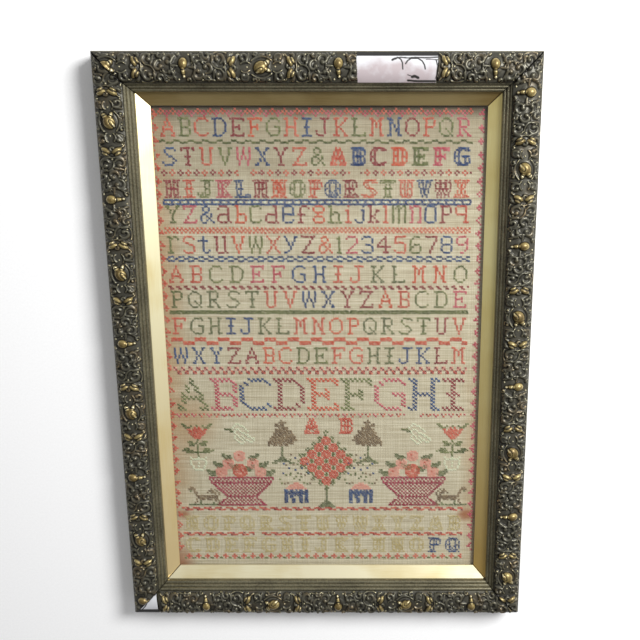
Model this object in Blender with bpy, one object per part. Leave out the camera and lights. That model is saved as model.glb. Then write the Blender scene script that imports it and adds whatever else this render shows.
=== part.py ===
"""Framed cross stitch sampler, lying on its back.

A linen sampler is stretched flat behind glass in a mitred picture frame of pine.
Composition ornament is laid on the frame's rounded band, and a gilt slip with a
bevelled face stands between the glass and the frame's reeded sight edge.

The frame lies on its back on a surface. +X is the picture's width, +Y its height
with the top of the picture at +Y, and +Z is the way the picture faces. The origin
is at the middle of the back, on the plane that the frame rests on. Metres.
"""

import math

import bmesh
import bpy
from mathutils import Matrix, Vector

MM = 0.001

# Driving sizes of the whole frame.
FRAME_WIDTH = 400 * MM
FRAME_HEIGHT = 557 * MM
GAP = 0.3 * MM

# The rail, measured inwards from its outer edge (across) and up from its back (high).
SIDE_HIGH = 24.4 * MM
FILLET_RADIUS = 1.1 * MM
BAND_START = 2.4 * MM
BAND_END = 25.6 * MM
BAND_EDGE_HIGH = 23.6 * MM
BAND_CROWN = 4.4 * MM
STRIP_HIGH = 26.0 * MM
REED_START = 26.6 * MM
REED_END = 34.5 * MM
REED_LOW_HIGH = 18.6 * MM
REED_COUNT = 3
REED_BULGE = 1.1 * MM
LIP_UNDER_HIGH = 16.5 * MM
REBATE_ACROSS = 28.0 * MM

# Composition ornament laid on the rail's band.
ORNAMENT_THICK = 2.6 * MM
ORNAMENT_EDGE_THICK = 0.6 * MM
LOSS_START_X = 34 * MM
LOSS_END_X = 106 * MM
BREAK_SLANT = 0.12

# Bosses pressed with the ornament: along each side they take turns between a group, which is
# an almond with a pair of lobes before and after it, and a lone drop lying across the band.
BOSS_PITCH = 136.6 * MM
PAIR_OFFSET = 26 * MM
LOBE_APART = 4.6 * MM
BOSS_END_CLEARANCE = 9 * MM
# Each boss: half its length along the side, half its width across, height, depth of its base.
BOSSES = {
    "almond": {"along": 8.0 * MM, "across": 4.6 * MM, "high": 3.4 * MM, "sunk": 0.9 * MM},
    "lobe": {"along": 5.0 * MM, "across": 3.6 * MM, "high": 3.0 * MM, "sunk": 0.8 * MM},
    "drop": {"along": 4.6 * MM, "across": 6.6 * MM, "high": 3.4 * MM, "sunk": 1.4 * MM},
}
BOSS_SEGMENTS = 12
BOSS_RINGS = 8
# Where one group's almond stands on each side, along the side as it is drawn for the top.
GROUP_PLACES = {"top": -49 * MM, "right": -38.8 * MM, "bottom": 55 * MM, "left": 81.3 * MM}

# Gilt slip: a wedge with a bevelled face, standing on the glass.
SLIP_ACROSS = REBATE_ACROSS + GAP
SLIP_BEVEL_START = 34.8 * MM
SLIP_SIGHT = 46.0 * MM
SLIP_TOP = LIP_UNDER_HIGH - GAP
SLIP_SIGHT_HIGH = 9.4 * MM

# The flat layers behind the slip, each by its lowest height, thickness and clearance.
GLASS_THICK = 2.0 * MM
CLOTH_THICK = 1.2 * MM
BOARD_THICK = 3.0 * MM
BOARD_LOW = 0.9 * MM
CLOTH_LOW = BOARD_LOW + BOARD_THICK + GAP
GLASS_LOW = CLOTH_LOW + CLOTH_THICK + GAP
SLIP_LOW = GLASS_LOW + GLASS_THICK + GAP
GLASS_CLEARANCE = 0.6 * MM
CLOTH_CLEARANCE = 3.0 * MM
BOARD_CLEARANCE = 0.8 * MM

ARC_STEPS = 12
REED_STEPS = 5
FILLET_STEPS = 3

# Sides of the frame: the turn about Z that brings a length made for the top to its side.
SIDE_TURNS = {"top": 0.0, "right": -90.0, "bottom": 180.0, "left": 90.0}

# Finishes: colour, roughness, metallic.
FINISHES = {
    "bronzed_pine": ((0.055, 0.048, 0.032), 0.42, 0.35),
    "bronzed_composition": ((0.085, 0.070, 0.040), 0.40, 0.45),
    "gilt_slip": ((0.62, 0.50, 0.27), 0.38, 0.55),
    "window_glass": ((0.92, 0.95, 0.94), 0.03, 0.0),
    "stitched_linen": ((0.50, 0.44, 0.34), 0.90, 0.0),
    "bare_pine": ((0.36, 0.25, 0.15), 0.80, 0.0),
}


def clear_scene():
    """Remove the objects that a new file starts with."""
    for old in list(bpy.data.objects):
        bpy.data.objects.remove(old, do_unlink=True)


def make_material(name):
    """A Principled material from its row in FINISHES."""
    colour, roughness, metallic = FINISHES[name]
    material = bpy.data.materials.new(name)
    material.use_nodes = True
    shader = material.node_tree.nodes["Principled BSDF"]
    shader.inputs["Base Color"].default_value = (*colour, 1.0)
    shader.inputs["Roughness"].default_value = roughness
    shader.inputs["Metallic"].default_value = metallic
    return material


def arc_points(centre, radius, first_deg, last_deg, steps):
    """Points on an arc about centre, from one angle to another."""
    points = []
    for step in range(steps + 1):
        angle = math.radians(first_deg + (last_deg - first_deg) * step / steps)
        points.append(Vector((centre[0] + radius * math.cos(angle), centre[1] + radius * math.sin(angle))))
    return points


def arch(start, end, rise, steps):
    """Points of a shallow arc from start to end that stands rise above the chord."""
    start, end = Vector(start), Vector(end)
    chord = end - start
    outward = Vector((-chord.y, chord.x)).normalized()
    half = chord.length / 2
    radius = (half * half + rise * rise) / (2 * rise)
    centre = (start + end) / 2 + outward * (rise - radius)
    middle_deg = math.degrees(math.atan2(outward.y, outward.x))
    reach_deg = math.degrees(math.asin(half / radius))
    return arc_points(centre, radius, middle_deg + reach_deg, middle_deg - reach_deg, steps)


def rail_outline():
    """Section of a rail: side, outer fillet, ornament band, strip, reeds and rebate."""
    outline = [Vector((0, 0))]
    outline += arc_points((FILLET_RADIUS, SIDE_HIGH - FILLET_RADIUS), FILLET_RADIUS, 180, 90, FILLET_STEPS)
    outline.append(Vector((BAND_START, SIDE_HIGH)))
    outline += arch((BAND_START, BAND_EDGE_HIGH), (BAND_END, BAND_EDGE_HIGH), BAND_CROWN, ARC_STEPS)
    outline.append(Vector((BAND_END, STRIP_HIGH)))
    first = Vector((REED_START, STRIP_HIGH))
    last = Vector((REED_END, REED_LOW_HIGH))
    for reed in range(REED_COUNT):
        low = first.lerp(last, reed / REED_COUNT)
        high = first.lerp(last, (reed + 1) / REED_COUNT)
        points = arch(low, high, REED_BULGE, REED_STEPS)
        outline += points if reed == 0 else points[1:]
    outline.append(Vector((REED_END, LIP_UNDER_HIGH)))
    outline.append(Vector((REBATE_ACROSS, LIP_UNDER_HIGH)))
    outline.append(Vector((REBATE_ACROSS, 0)))
    return outline


def ornament_outline():
    """Section of the composition strip: a crescent that follows the band, a gap above it."""
    lower = [place + Vector((0, GAP)) for place in arch(
        (BAND_START, BAND_EDGE_HIGH), (BAND_END, BAND_EDGE_HIGH), BAND_CROWN, ARC_STEPS)][1:-1]
    rise = BAND_CROWN + ORNAMENT_THICK - (lower[0].y - BAND_EDGE_HIGH)
    edge_high = Vector((0, ORNAMENT_EDGE_THICK))
    upper = arch(lower[0] + edge_high, lower[-1] + edge_high, rise, ARC_STEPS)
    return upper + lower[::-1]


def boss_places(side):
    """Kind, place along and place across of each boss on a side, from its group's place."""
    length = FRAME_HEIGHT if side in ("left", "right") else FRAME_WIDTH
    middle = (BAND_START + BAND_END) / 2
    reach = length / 2 - middle - BOSS_END_CLEARANCE
    places = []
    turns = math.ceil(length / BOSS_PITCH)
    for turn in range(-turns, turns + 1):
        group = GROUP_PLACES[side] + turn * BOSS_PITCH
        places.append(("almond", group, middle))
        places.append(("drop", group + BOSS_PITCH / 2, middle))
        for pair in (group - PAIR_OFFSET, group + PAIR_OFFSET):
            places.append(("lobe", pair, middle - LOBE_APART))
            places.append(("lobe", pair, middle + LOBE_APART))
    return [place for place in places if abs(place[1]) < reach]


def crest(across):
    """The ornament's height and slope angle at a place across the band."""
    outline = ornament_outline()
    upper = outline[:ARC_STEPS + 1]
    for start, end in zip(upper, upper[1:]):
        if start.x <= across <= end.x:
            share = (across - start.x) / (end.x - start.x)
            return start.y + share * (end.y - start.y), math.atan2(end.y - start.y, end.x - start.x)
    raise ValueError("the place is not on the band")


def add_boss(shape, kind, along, across):
    """Add one boss to a bmesh: half an ellipsoid whose base is sunk in the ornament."""
    size = BOSSES[kind]
    dome = bmesh.new()
    bmesh.ops.create_uvsphere(dome, u_segments=BOSS_SEGMENTS, v_segments=BOSS_RINGS, radius=1)
    cut = bmesh.ops.bisect_plane(
        dome, geom=dome.verts[:] + dome.edges[:] + dome.faces[:], dist=0.000001,
        plane_co=(0, 0, 0), plane_no=(0, 0, -1), clear_outer=True)
    rim = [item for item in cut["geom_cut"] if isinstance(item, bmesh.types.BMEdge)]
    bmesh.ops.edgeloop_fill(dome, edges=rim)
    bmesh.ops.recalc_face_normals(dome, faces=dome.faces)
    high, slope = crest(across)
    stretch = Matrix.Diagonal((size["along"], size["across"], size["high"], 1))
    sink = Matrix.Translation((0, 0, -size["sunk"]))
    tilt = Matrix.Rotation(-slope, 4, "X")
    dome.transform(Matrix.Translation((along, -across, high)) @ tilt @ sink @ stretch)
    mesh = bpy.data.meshes.new("boss")
    dome.to_mesh(mesh)
    dome.free()
    shape.from_mesh(mesh)
    bpy.data.meshes.remove(mesh)


def add_bosses(ornament, side, guides, low=-1.0, high=1.0):
    """Join to a strip of ornament the bosses whose places along it lie between low and high."""
    shape = bmesh.new()
    for kind, along, across in boss_places(side):
        if low < along < high:
            add_boss(shape, kind, along, across)
    mesh = bpy.data.meshes.new(f"{ornament.name}_bosses")
    shape.to_mesh(mesh)
    shape.free()
    guide = bpy.data.objects.new(mesh.name, mesh)
    guide.location = ornament.location
    guide.rotation_euler = ornament.rotation_euler
    guide.hide_render = True
    guide.display_type = "WIRE"
    guides.objects.link(guide)
    join = ornament.modifiers.new("bosses", "BOOLEAN")
    join.operation = "UNION"
    join.solver = "EXACT"
    join.object = guide


def slip_outline():
    """Section of the slip: its flat top is under the rail's lip, its bevel runs to the sight edge."""
    return [
        Vector((SLIP_ACROSS, SLIP_LOW)),
        Vector((SLIP_ACROSS, SLIP_TOP)),
        Vector((SLIP_BEVEL_START, SLIP_TOP)),
        Vector((SLIP_SIGHT, SLIP_SIGHT_HIGH)),
        Vector((SLIP_SIGHT, SLIP_LOW)),
    ]


def outline_length(name, outline, length):
    """Mesh of an outline (across, high) run along X, with its outer edge on the X axis.

    Across becomes -Y and high becomes +Z, so the length suits the top side of the frame.
    """
    curve = bpy.data.curves.new(name, "CURVE")
    curve.dimensions = "2D"
    curve.fill_mode = "BOTH"
    curve.extrude = length / 2
    spline = curve.splines.new("POLY")
    spline.points.add(len(outline) - 1)
    for point, place in zip(spline.points, outline):
        point.co = (place.x, place.y, 0, 1)
    spline.use_cyclic_u = True
    guide = bpy.data.objects.new(name, curve)
    bpy.context.scene.collection.objects.link(guide)
    bpy.context.view_layer.update()
    evaluated = guide.evaluated_get(bpy.context.evaluated_depsgraph_get())
    mesh = bpy.data.meshes.new_from_object(evaluated)
    bpy.data.objects.remove(guide, do_unlink=True)
    bpy.data.curves.remove(curve)
    across_high_along = Matrix(((0, 0, 1, 0), (-1, 0, 0, 0), (0, 1, 0, 0), (0, 0, 0, 1)))
    mesh.transform(across_high_along)
    return mesh


def cut_mesh(mesh, cuts):
    """Cut a closed mesh at planes (point, normal), drop what lies past each, and close it."""
    shape = bmesh.new()
    shape.from_mesh(mesh)
    bmesh.ops.remove_doubles(shape, verts=shape.verts, dist=0.00001)
    for point, normal in cuts:
        geometry = shape.verts[:] + shape.edges[:] + shape.faces[:]
        cut = bmesh.ops.bisect_plane(
            shape, geom=geometry, dist=0.000001, plane_co=point, plane_no=normal, clear_outer=True)
        rim = [item for item in cut["geom_cut"] if isinstance(item, bmesh.types.BMEdge)]
        bmesh.ops.edgeloop_fill(shape, edges=rim)
    bmesh.ops.recalc_face_normals(shape, faces=shape.faces)
    shape.to_mesh(mesh)
    shape.free()


def mitre_cuts(length):
    """The two 45 degree planes that end a length, set back by half the gap."""
    half = length / 2
    set_back = GAP / 2
    return [
        (Vector((half - set_back * math.sqrt(2), 0, 0)), Vector((1, -1, 0)).normalized()),
        (Vector((-half + set_back * math.sqrt(2), 0, 0)), Vector((-1, -1, 0)).normalized()),
    ]


def add_side(name, side, outline, material, collection, extra_cuts=()):
    """One mitred length of a section, placed on its side of the frame."""
    upright = side in ("left", "right")
    length = FRAME_HEIGHT if upright else FRAME_WIDTH
    reach = (FRAME_WIDTH if upright else FRAME_HEIGHT) / 2
    mesh = outline_length(name, outline, length)
    cut_mesh(mesh, mitre_cuts(length) + list(extra_cuts))
    mesh.name = name
    mesh.materials.clear()
    mesh.materials.append(material)
    piece = bpy.data.objects.new(name, mesh)
    turn = math.radians(SIDE_TURNS[side])
    piece.rotation_euler = (0, 0, turn)
    piece.location = (-reach * math.sin(turn), reach * math.cos(turn), 0)
    collection.objects.link(piece)
    piece.data.set_sharp_from_angle(angle=math.radians(35))
    return piece


def add_layer(name, low, thick, clearance, material, collection):
    """A flat rectangular layer that lies inside the rebate."""
    width = FRAME_WIDTH - 2 * (REBATE_ACROSS + clearance)
    height = FRAME_HEIGHT - 2 * (REBATE_ACROSS + clearance)
    bpy.ops.mesh.primitive_cube_add(size=1, location=(0, 0, low + thick / 2))
    layer = bpy.context.object
    layer.name = name
    layer.data.name = name
    layer.scale = (width, height, thick)
    bpy.ops.object.transform_apply(location=False, rotation=False, scale=True)
    layer.data.materials.append(material)
    for holder in list(layer.users_collection):
        holder.objects.unlink(layer)
    collection.objects.link(layer)
    return layer


def build():
    """Make every piece of the framed sampler."""
    clear_scene()
    collection = bpy.data.collections.new("framed_sampler")
    bpy.context.scene.collection.children.link(collection)
    guides = bpy.data.collections.new("guides")
    bpy.context.scene.collection.children.link(guides)
    finishes = {name: make_material(name) for name in FINISHES}

    for side in SIDE_TURNS:
        add_side(f"rail_{side}", side, rail_outline(), finishes["bronzed_pine"], collection)
        add_side(f"slip_{side}", side, slip_outline(), finishes["gilt_slip"], collection)

    for side in ("right", "bottom", "left"):
        strip = add_side(
            f"ornament_{side}", side, ornament_outline(), finishes["bronzed_composition"], collection)
        add_bosses(strip, side, guides)
    # The top strip has lost a piece, so it is two lengths with broken ends.
    broken = Vector((1, BREAK_SLANT, 0)).normalized()
    strip = add_side("ornament_top_left", "top", ornament_outline(), finishes["bronzed_composition"],
                     collection, [(Vector((LOSS_START_X, 0, 0)), broken)])
    add_bosses(strip, "top", guides, high=LOSS_START_X - BOSS_END_CLEARANCE)
    strip = add_side("ornament_top_right", "top", ornament_outline(), finishes["bronzed_composition"],
                     collection, [(Vector((LOSS_END_X, 0, 0)), -broken)])
    add_bosses(strip, "top", guides, low=LOSS_END_X + BOSS_END_CLEARANCE)

    add_layer("glass_pane", GLASS_LOW, GLASS_THICK, GLASS_CLEARANCE, finishes["window_glass"], collection)
    add_layer("sampler_cloth", CLOTH_LOW, CLOTH_THICK, CLOTH_CLEARANCE, finishes["stitched_linen"], collection)
    add_layer("backboard", BOARD_LOW, BOARD_THICK, BOARD_CLEARANCE, finishes["bare_pine"], collection)


build()
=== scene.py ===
"""Looks of the framed cross stitch sampler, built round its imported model.

The frame lies on its back with the picture facing up, the top of the picture at +Y. The rails,
slips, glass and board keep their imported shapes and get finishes. The pressed composition
ornament, the places where it is lost, the linen and every stitch are modelled here.
"""

import logging
import math
from collections.abc import Callable
from dataclasses import dataclass, field
from enum import Enum

import bpy
import numpy as np
from mathutils import Matrix, Vector


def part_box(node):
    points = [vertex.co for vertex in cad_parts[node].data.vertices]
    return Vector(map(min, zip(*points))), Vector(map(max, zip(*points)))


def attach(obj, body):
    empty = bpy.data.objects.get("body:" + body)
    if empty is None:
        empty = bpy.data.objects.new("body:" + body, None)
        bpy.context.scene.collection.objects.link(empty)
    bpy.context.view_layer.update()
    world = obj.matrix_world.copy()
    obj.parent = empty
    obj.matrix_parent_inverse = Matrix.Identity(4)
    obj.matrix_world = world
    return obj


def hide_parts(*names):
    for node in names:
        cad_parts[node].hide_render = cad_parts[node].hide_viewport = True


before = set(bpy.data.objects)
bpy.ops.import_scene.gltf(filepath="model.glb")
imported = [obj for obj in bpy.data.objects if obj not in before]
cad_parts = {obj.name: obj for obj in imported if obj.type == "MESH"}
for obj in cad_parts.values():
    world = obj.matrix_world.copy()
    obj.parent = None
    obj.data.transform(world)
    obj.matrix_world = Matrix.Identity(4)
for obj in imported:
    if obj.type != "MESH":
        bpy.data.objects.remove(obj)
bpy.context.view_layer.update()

LOG = logging.getLogger("sampler")
MM = 0.001
BODY = "root"

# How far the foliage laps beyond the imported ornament's edges, and how thick it is there.
OUTER_LAP = 3.2 * MM
INNER_LAP = 3.4 * MM
EDGE_THICK = 0.6 * MM
# The gap of a strip at its mitre, its depth, and how many rows of its top one below it spans.
MITRE_GAP = 0.6 * MM
UNDER_DEPTH = 1.3 * MM
UNDER_STEP = 7
# Half a turn, in degrees.
HALF_TURN = 180
# Where the dark line on a mitre starts to fade and where it is gone, as shares of its half width.
FADE_FROM, FADE_TO = 0.6, 1.8

# Node settings that are used often, and the inputs of a Mix node that mixes colours.
COLOURS = {"data_type": "RGBA"}
VECTORS = {"data_type": "FLOAT_VECTOR"}
SCALE_ADD = {"operation": "MULTIPLY_ADD"}
TIMES = {"operation": "MULTIPLY"}
PLUS = {"operation": "ADD"}
MINUS = {"operation": "SUBTRACT"}
ABSOLUTE = {"operation": "ABSOLUTE"}
SOFT = {"interpolation_type": "SMOOTHSTEP"}
SHARE, BASE, COAT = 0, 6, 7


# ---------------------------------------------------------------- small helpers


def srgb(hex_colour: str) -> tuple[float, float, float, float]:
    """Linear colour with full alpha from an sRGB hex value such as "a1b2c3"."""
    parts = [int(hex_colour[start:start + 2], 16) / 255 for start in (0, 2, 4)]
    linear = [part / 12.92 if part <= 0.04045 else ((part + 0.055) / 1.055) ** 2.4 for part in parts]
    return (linear[0], linear[1], linear[2], 1.0)


def set_stops(ramp: bpy.types.ColorRamp, stops: tuple) -> None:
    """Give a colour ramp its stops, each a place from 0 to 1 and a hex colour."""
    while len(ramp.elements) < len(stops):
        ramp.elements.new(1.0)
    for element, (place, colour) in zip(ramp.elements, stops):
        element.position = place
        element.color = srgb(colour)


def feed(tree: bpy.types.NodeTree, node: bpy.types.Node, inputs: dict) -> None:
    """Give a node's inputs their values or their links.

    Args:
        tree: the node's tree.
        node: the node.
        inputs: input name or number to its value, or to the socket or node that feeds it. A
            node stands for its first output in use.
    """
    for key, given in inputs.items():
        if isinstance(given, bpy.types.Node):
            given = next(socket for socket in given.outputs if socket.enabled)
        if isinstance(given, bpy.types.NodeSocket):
            tree.links.new(given, node.inputs[key])
        else:
            node.inputs[key].default_value = given


def add_node(tree: bpy.types.NodeTree, kind: str, settings: dict | None = None,
             inputs: dict | None = None) -> bpy.types.Node:
    """Add one node with its settings and what its inputs get.

    Args:
        tree: the tree that gets the node.
        kind: the node's type name.
        settings: attribute name to value, and "stops" for the stops of a colour ramp.
        inputs: input name or number to what it gets, as in feed.

    Returns:
        The new node.
    """
    node = tree.nodes.new(kind)
    for name, value in (settings or {}).items():
        if name == "stops":
            set_stops(node.color_ramp, value)
        else:
            setattr(node, name, value)
    feed(tree, node, inputs or {})
    return node


def new_finish(name: str) -> tuple:
    """A material with one Principled shader.

    Returns:
        The material, its tree, its shader and the socket of object coordinates.
    """
    material = bpy.data.materials.new(name)
    material.use_nodes = True
    tree = material.node_tree
    place = add_node(tree, "ShaderNodeTexCoord").outputs["Object"]
    return material, tree, tree.nodes["Principled BSDF"], place


def mesh_piece(name: str, points: np.ndarray, faces: list, material: bpy.types.Material,
               smooth: bool = True) -> bpy.types.Object:
    """A mesh object at the origin, in the scene, with one material.

    Args:
        name: the piece's name.
        points: vertex places in metres, one row each.
        faces: vertex numbers of each face.
        material: the finish.
        smooth: whether its faces are shaded smooth.

    Returns:
        The new object.
    """
    mesh = bpy.data.meshes.new(name)
    mesh.from_pydata(points.tolist(), [], faces)
    mesh.materials.append(material)
    mesh.polygons.foreach_set("use_smooth", [smooth] * len(mesh.polygons))
    mesh.update()
    piece = bpy.data.objects.new(name, mesh)
    bpy.context.scene.collection.objects.link(piece)
    return piece


def add_values(piece: bpy.types.Object, name: str, kind: str, values: np.ndarray) -> None:
    """Store one value for each point of a mesh piece, as a named attribute."""
    attribute = piece.data.attributes.new(name, kind, "POINT")
    key = "value" if kind == "FLOAT" else "vector"
    attribute.data.foreach_set(key, np.asarray(values, dtype=np.float32).ravel())


def hand_over(piece: bpy.types.Object, replaced: str | None = None) -> None:
    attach(piece, BODY)
    if replaced is not None:
        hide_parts(replaced)
    LOG.info("%s: %d faces", piece.name, len(piece.data.polygons))


# ---------------------------------------------------------------- sizes read from the frame


class Side(Enum):
    """The four sides of the frame, each with the turn in degrees that brings the top to it."""

    TOP = ("top", 0.0)
    RIGHT = ("right", -90.0)
    BOTTOM = ("bottom", 180.0)
    LEFT = ("left", 90.0)

    @property
    def label(self) -> str:
        """The side's word in node names."""
        return self.value[0]

    @property
    def upright(self) -> bool:
        """Whether the side runs along Y."""
        return self in (Side.LEFT, Side.RIGHT)


@dataclass
class FrameSizes:
    """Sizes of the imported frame, in metres."""

    width: float = field(init=False)
    height: float = field(init=False)
    band_start: float = field(init=False)
    band_end: float = field(init=False)
    band_edge: float = field(init=False)
    sight: float = field(init=False)
    cloth_low: Vector = field(init=False)
    cloth_high: Vector = field(init=False)

    def __post_init__(self) -> None:
        """Read the boxes of the rail, ornament, slip and cloth."""
        self.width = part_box("rail_right")[1].x * 2
        self.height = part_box("rail_top")[1].y * 2
        strip_low, strip_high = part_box("ornament_bottom")
        self.band_start = self.height / 2 + strip_low.y - OUTER_LAP
        self.band_end = self.height / 2 + strip_high.y + INNER_LAP
        self.band_edge = strip_low.z + EDGE_THICK
        self.sight = self.height / 2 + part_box("slip_bottom")[1].y
        self.cloth_low, self.cloth_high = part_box("sampler_cloth")

    @property
    def band_middle(self) -> float:
        """How far the band's middle is from the frame's outer edge."""
        return (self.band_start + self.band_end) / 2

    def length(self, side: Side) -> float:
        """Outer length of a side."""
        return self.height if side.upright else self.width

    def place(self, side: Side) -> Matrix:
        """The matrix that takes a length made for the top (outer edge on the X axis) to its side."""
        reach = (self.width if side.upright else self.height) / 2
        turn = math.radians(side.value[1])
        place = Matrix.Translation((-reach * math.sin(turn), reach * math.cos(turn), 0))
        return place @ Matrix.Rotation(turn, 4, "Z")


# ---------------------------------------------------------------- finishes


def mitre_line(tree: bpy.types.NodeTree, place: bpy.types.NodeSocket, sizes: FrameSizes,
               half_mm: float) -> bpy.types.Node:
    """A mask that is 1 on the frame's four mitres and 0 away from them.

    Args:
        tree: the material's tree.
        place: object coordinates.
        sizes: the frame's sizes.
        half_mm: half the width of the line, in millimetres.

    Returns:
        The mask's node.
    """
    size = add_node(tree, "ShaderNodeVectorMath", ABSOLUTE, {0: place})
    parts = add_node(tree, "ShaderNodeSeparateXYZ", None, {0: size})
    apart = add_node(tree, "ShaderNodeMath", MINUS, {0: parts.outputs["X"], 1: parts.outputs["Y"]})
    shifted = add_node(tree, "ShaderNodeMath", PLUS, {0: apart, 1: (sizes.height - sizes.width) / 2})
    away = add_node(tree, "ShaderNodeMath", ABSOLUTE, {0: shifted})
    return add_node(tree, "ShaderNodeMapRange", SOFT,
                    {"Value": away, "From Min": half_mm * MM * FADE_FROM, "From Max": half_mm * MM * FADE_TO,
                     "To Min": 1.0, "To Max": 0.0})


@dataclass(frozen=True)
class BronzedComposition:
    """Pressed composition, painted black and brown and rubbed with bronze powder.

    The colour follows how proud a point is of its surroundings. The recesses are dark, part
    dark paint and part painted shade; the ground is olive grey; and the tops are a paler
    bronze, reddish in places, part rubbed wear and part painted highlight, so the relief reads
    from far away. The bosses are gilt, with a painted highlight on top and painted shade, amber
    to dark, in their folds. The attribute "relief" is how proud a point is of its
    surroundings, and "gilt" is how much gilding it carries.
    """

    name: str = "bronzed_composition"
    recess: str = "15130f"
    # Ramps over how proud a point is: the dark low stops paint shade into recesses and folds, the pale high
    # stops paint highlight on the tops, with the real bronze and gilding between.
    bronze: tuple = ((0.14, "15130f"), (0.40, "4b493f"), (0.66, "605d4c"), (0.98, "c4ba90"))
    reddish: tuple = ((0.14, "15130f"), (0.40, "463e30"), (0.66, "6a583c"), (0.98, "c8ac7c"))
    gilding: tuple = ((0.30, "2e2614"), (0.46, "74623a"), (0.62, "b6a46c"), (0.78, "f2ebc8"))
    roughness: float = 0.34
    metallic: float = 0.5
    blotch_mm: float = 14.0
    blotch_share: float = 0.35
    grain_mm: float = 0.9
    grain_share: float = 0.22
    mitre_mm: float = 0.9

    def build(self, sizes: FrameSizes) -> bpy.types.Material:
        """Make the material, with the mitres dark."""
        material, tree, shader, place = new_finish(self.name)
        relief = add_node(tree, "ShaderNodeAttribute", {"attribute_name": "relief"}).outputs["Fac"]
        gilt = add_node(tree, "ShaderNodeAttribute", {"attribute_name": "gilt"}).outputs["Fac"]
        blotch = add_node(tree, "ShaderNodeTexNoise", None,
                          {"Scale": 1 / (self.blotch_mm * MM), "Detail": 4.0, "Vector": place})
        grain = add_node(tree, "ShaderNodeTexNoise", None,
                         {"Scale": 1 / (self.grain_mm * MM), "Detail": 3.0, "Vector": place})
        proud = relief
        for noise, share in ((blotch, self.blotch_share), (grain, self.grain_share)):
            uneven = add_node(tree, "ShaderNodeMath", SCALE_ADD, {0: noise, 1: share, 2: -share / 2})
            proud = add_node(tree, "ShaderNodeMath", PLUS, {0: proud, 1: uneven})
        # Painted shade in recesses and folds and painted highlight on tops, from how proud each point is.
        bronze, reddish, gilding = (add_node(tree, "ShaderNodeValToRGB", {"stops": stops}, {"Fac": proud})
                                    for stops in (self.bronze, self.reddish, self.gilding))
        where_red = add_node(tree, "ShaderNodeMapRange", None,
                             {"Value": blotch, "From Min": 0.50, "From Max": 0.64, "To Max": 0.6})
        rubbed_and_shaded = add_node(tree, "ShaderNodeMix", COLOURS, {SHARE: where_red, BASE: bronze, COAT: reddish})
        dressed = add_node(tree, "ShaderNodeMix", COLOURS, {SHARE: gilt, BASE: rubbed_and_shaded, COAT: gilding})
        mixed = add_node(tree, "ShaderNodeMix", COLOURS,
                         {SHARE: mitre_line(tree, place, sizes, self.mitre_mm), BASE: dressed,
                          COAT: srgb(self.recess)})
        rough = add_node(tree, "ShaderNodeMapRange", None,
                         {"Value": proud, "To Min": self.roughness + 0.14,
                          "To Max": self.roughness - 0.06})
        bump = add_node(tree, "ShaderNodeBump", None,
                        {"Strength": 0.35, "Distance": 0.12 * MM, "Height": grain})
        feed(tree, shader, {"Base Color": mixed, "Roughness": rough, "Normal": bump,
                            "Metallic": self.metallic})
        return material


@dataclass(frozen=True)
class BronzedPine:
    """Gessoed pine painted dark and rubbed with bronze: fine streaks along each rail.

    The mitres show as dark lines, worked out from how far a point is from the diagonal.
    """

    name: str = "bronzed_pine"
    dark: str = "302e26"
    light: str = "928c72"
    roughness: float = 0.30
    metallic: float = 0.72
    streak_mm: float = 1.6
    broad_mm: float = 30.0
    mitre_mm: float = 0.5

    def build(self, sizes: FrameSizes) -> bpy.types.Material:
        """Make the material."""
        material, tree, shader, place = new_finish(self.name)
        streak = add_node(tree, "ShaderNodeTexNoise", None,
                          {"Scale": 1 / (self.streak_mm * MM), "Detail": 5.0, "Roughness": 0.7,
                           "Vector": place})
        broad = add_node(tree, "ShaderNodeTexNoise", None,
                         {"Scale": 1 / (self.broad_mm * MM), "Vector": place})
        both = add_node(tree, "ShaderNodeMath", SCALE_ADD, {0: broad, 1: 0.4, 2: streak})
        ramp = add_node(tree, "ShaderNodeValToRGB", {"stops": ((0.40, self.dark), (0.95, self.light))},
                        {"Fac": both})
        mixed = add_node(tree, "ShaderNodeMix", COLOURS,
                         {SHARE: mitre_line(tree, place, sizes, self.mitre_mm), BASE: ramp,
                          COAT: srgb(self.dark)})
        bump = add_node(tree, "ShaderNodeBump", None,
                        {"Strength": 0.25, "Distance": 0.15 * MM, "Height": streak})
        feed(tree, shader, {"Base Color": mixed, "Normal": bump, "Roughness": self.roughness,
                            "Metallic": self.metallic})
        return material


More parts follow.
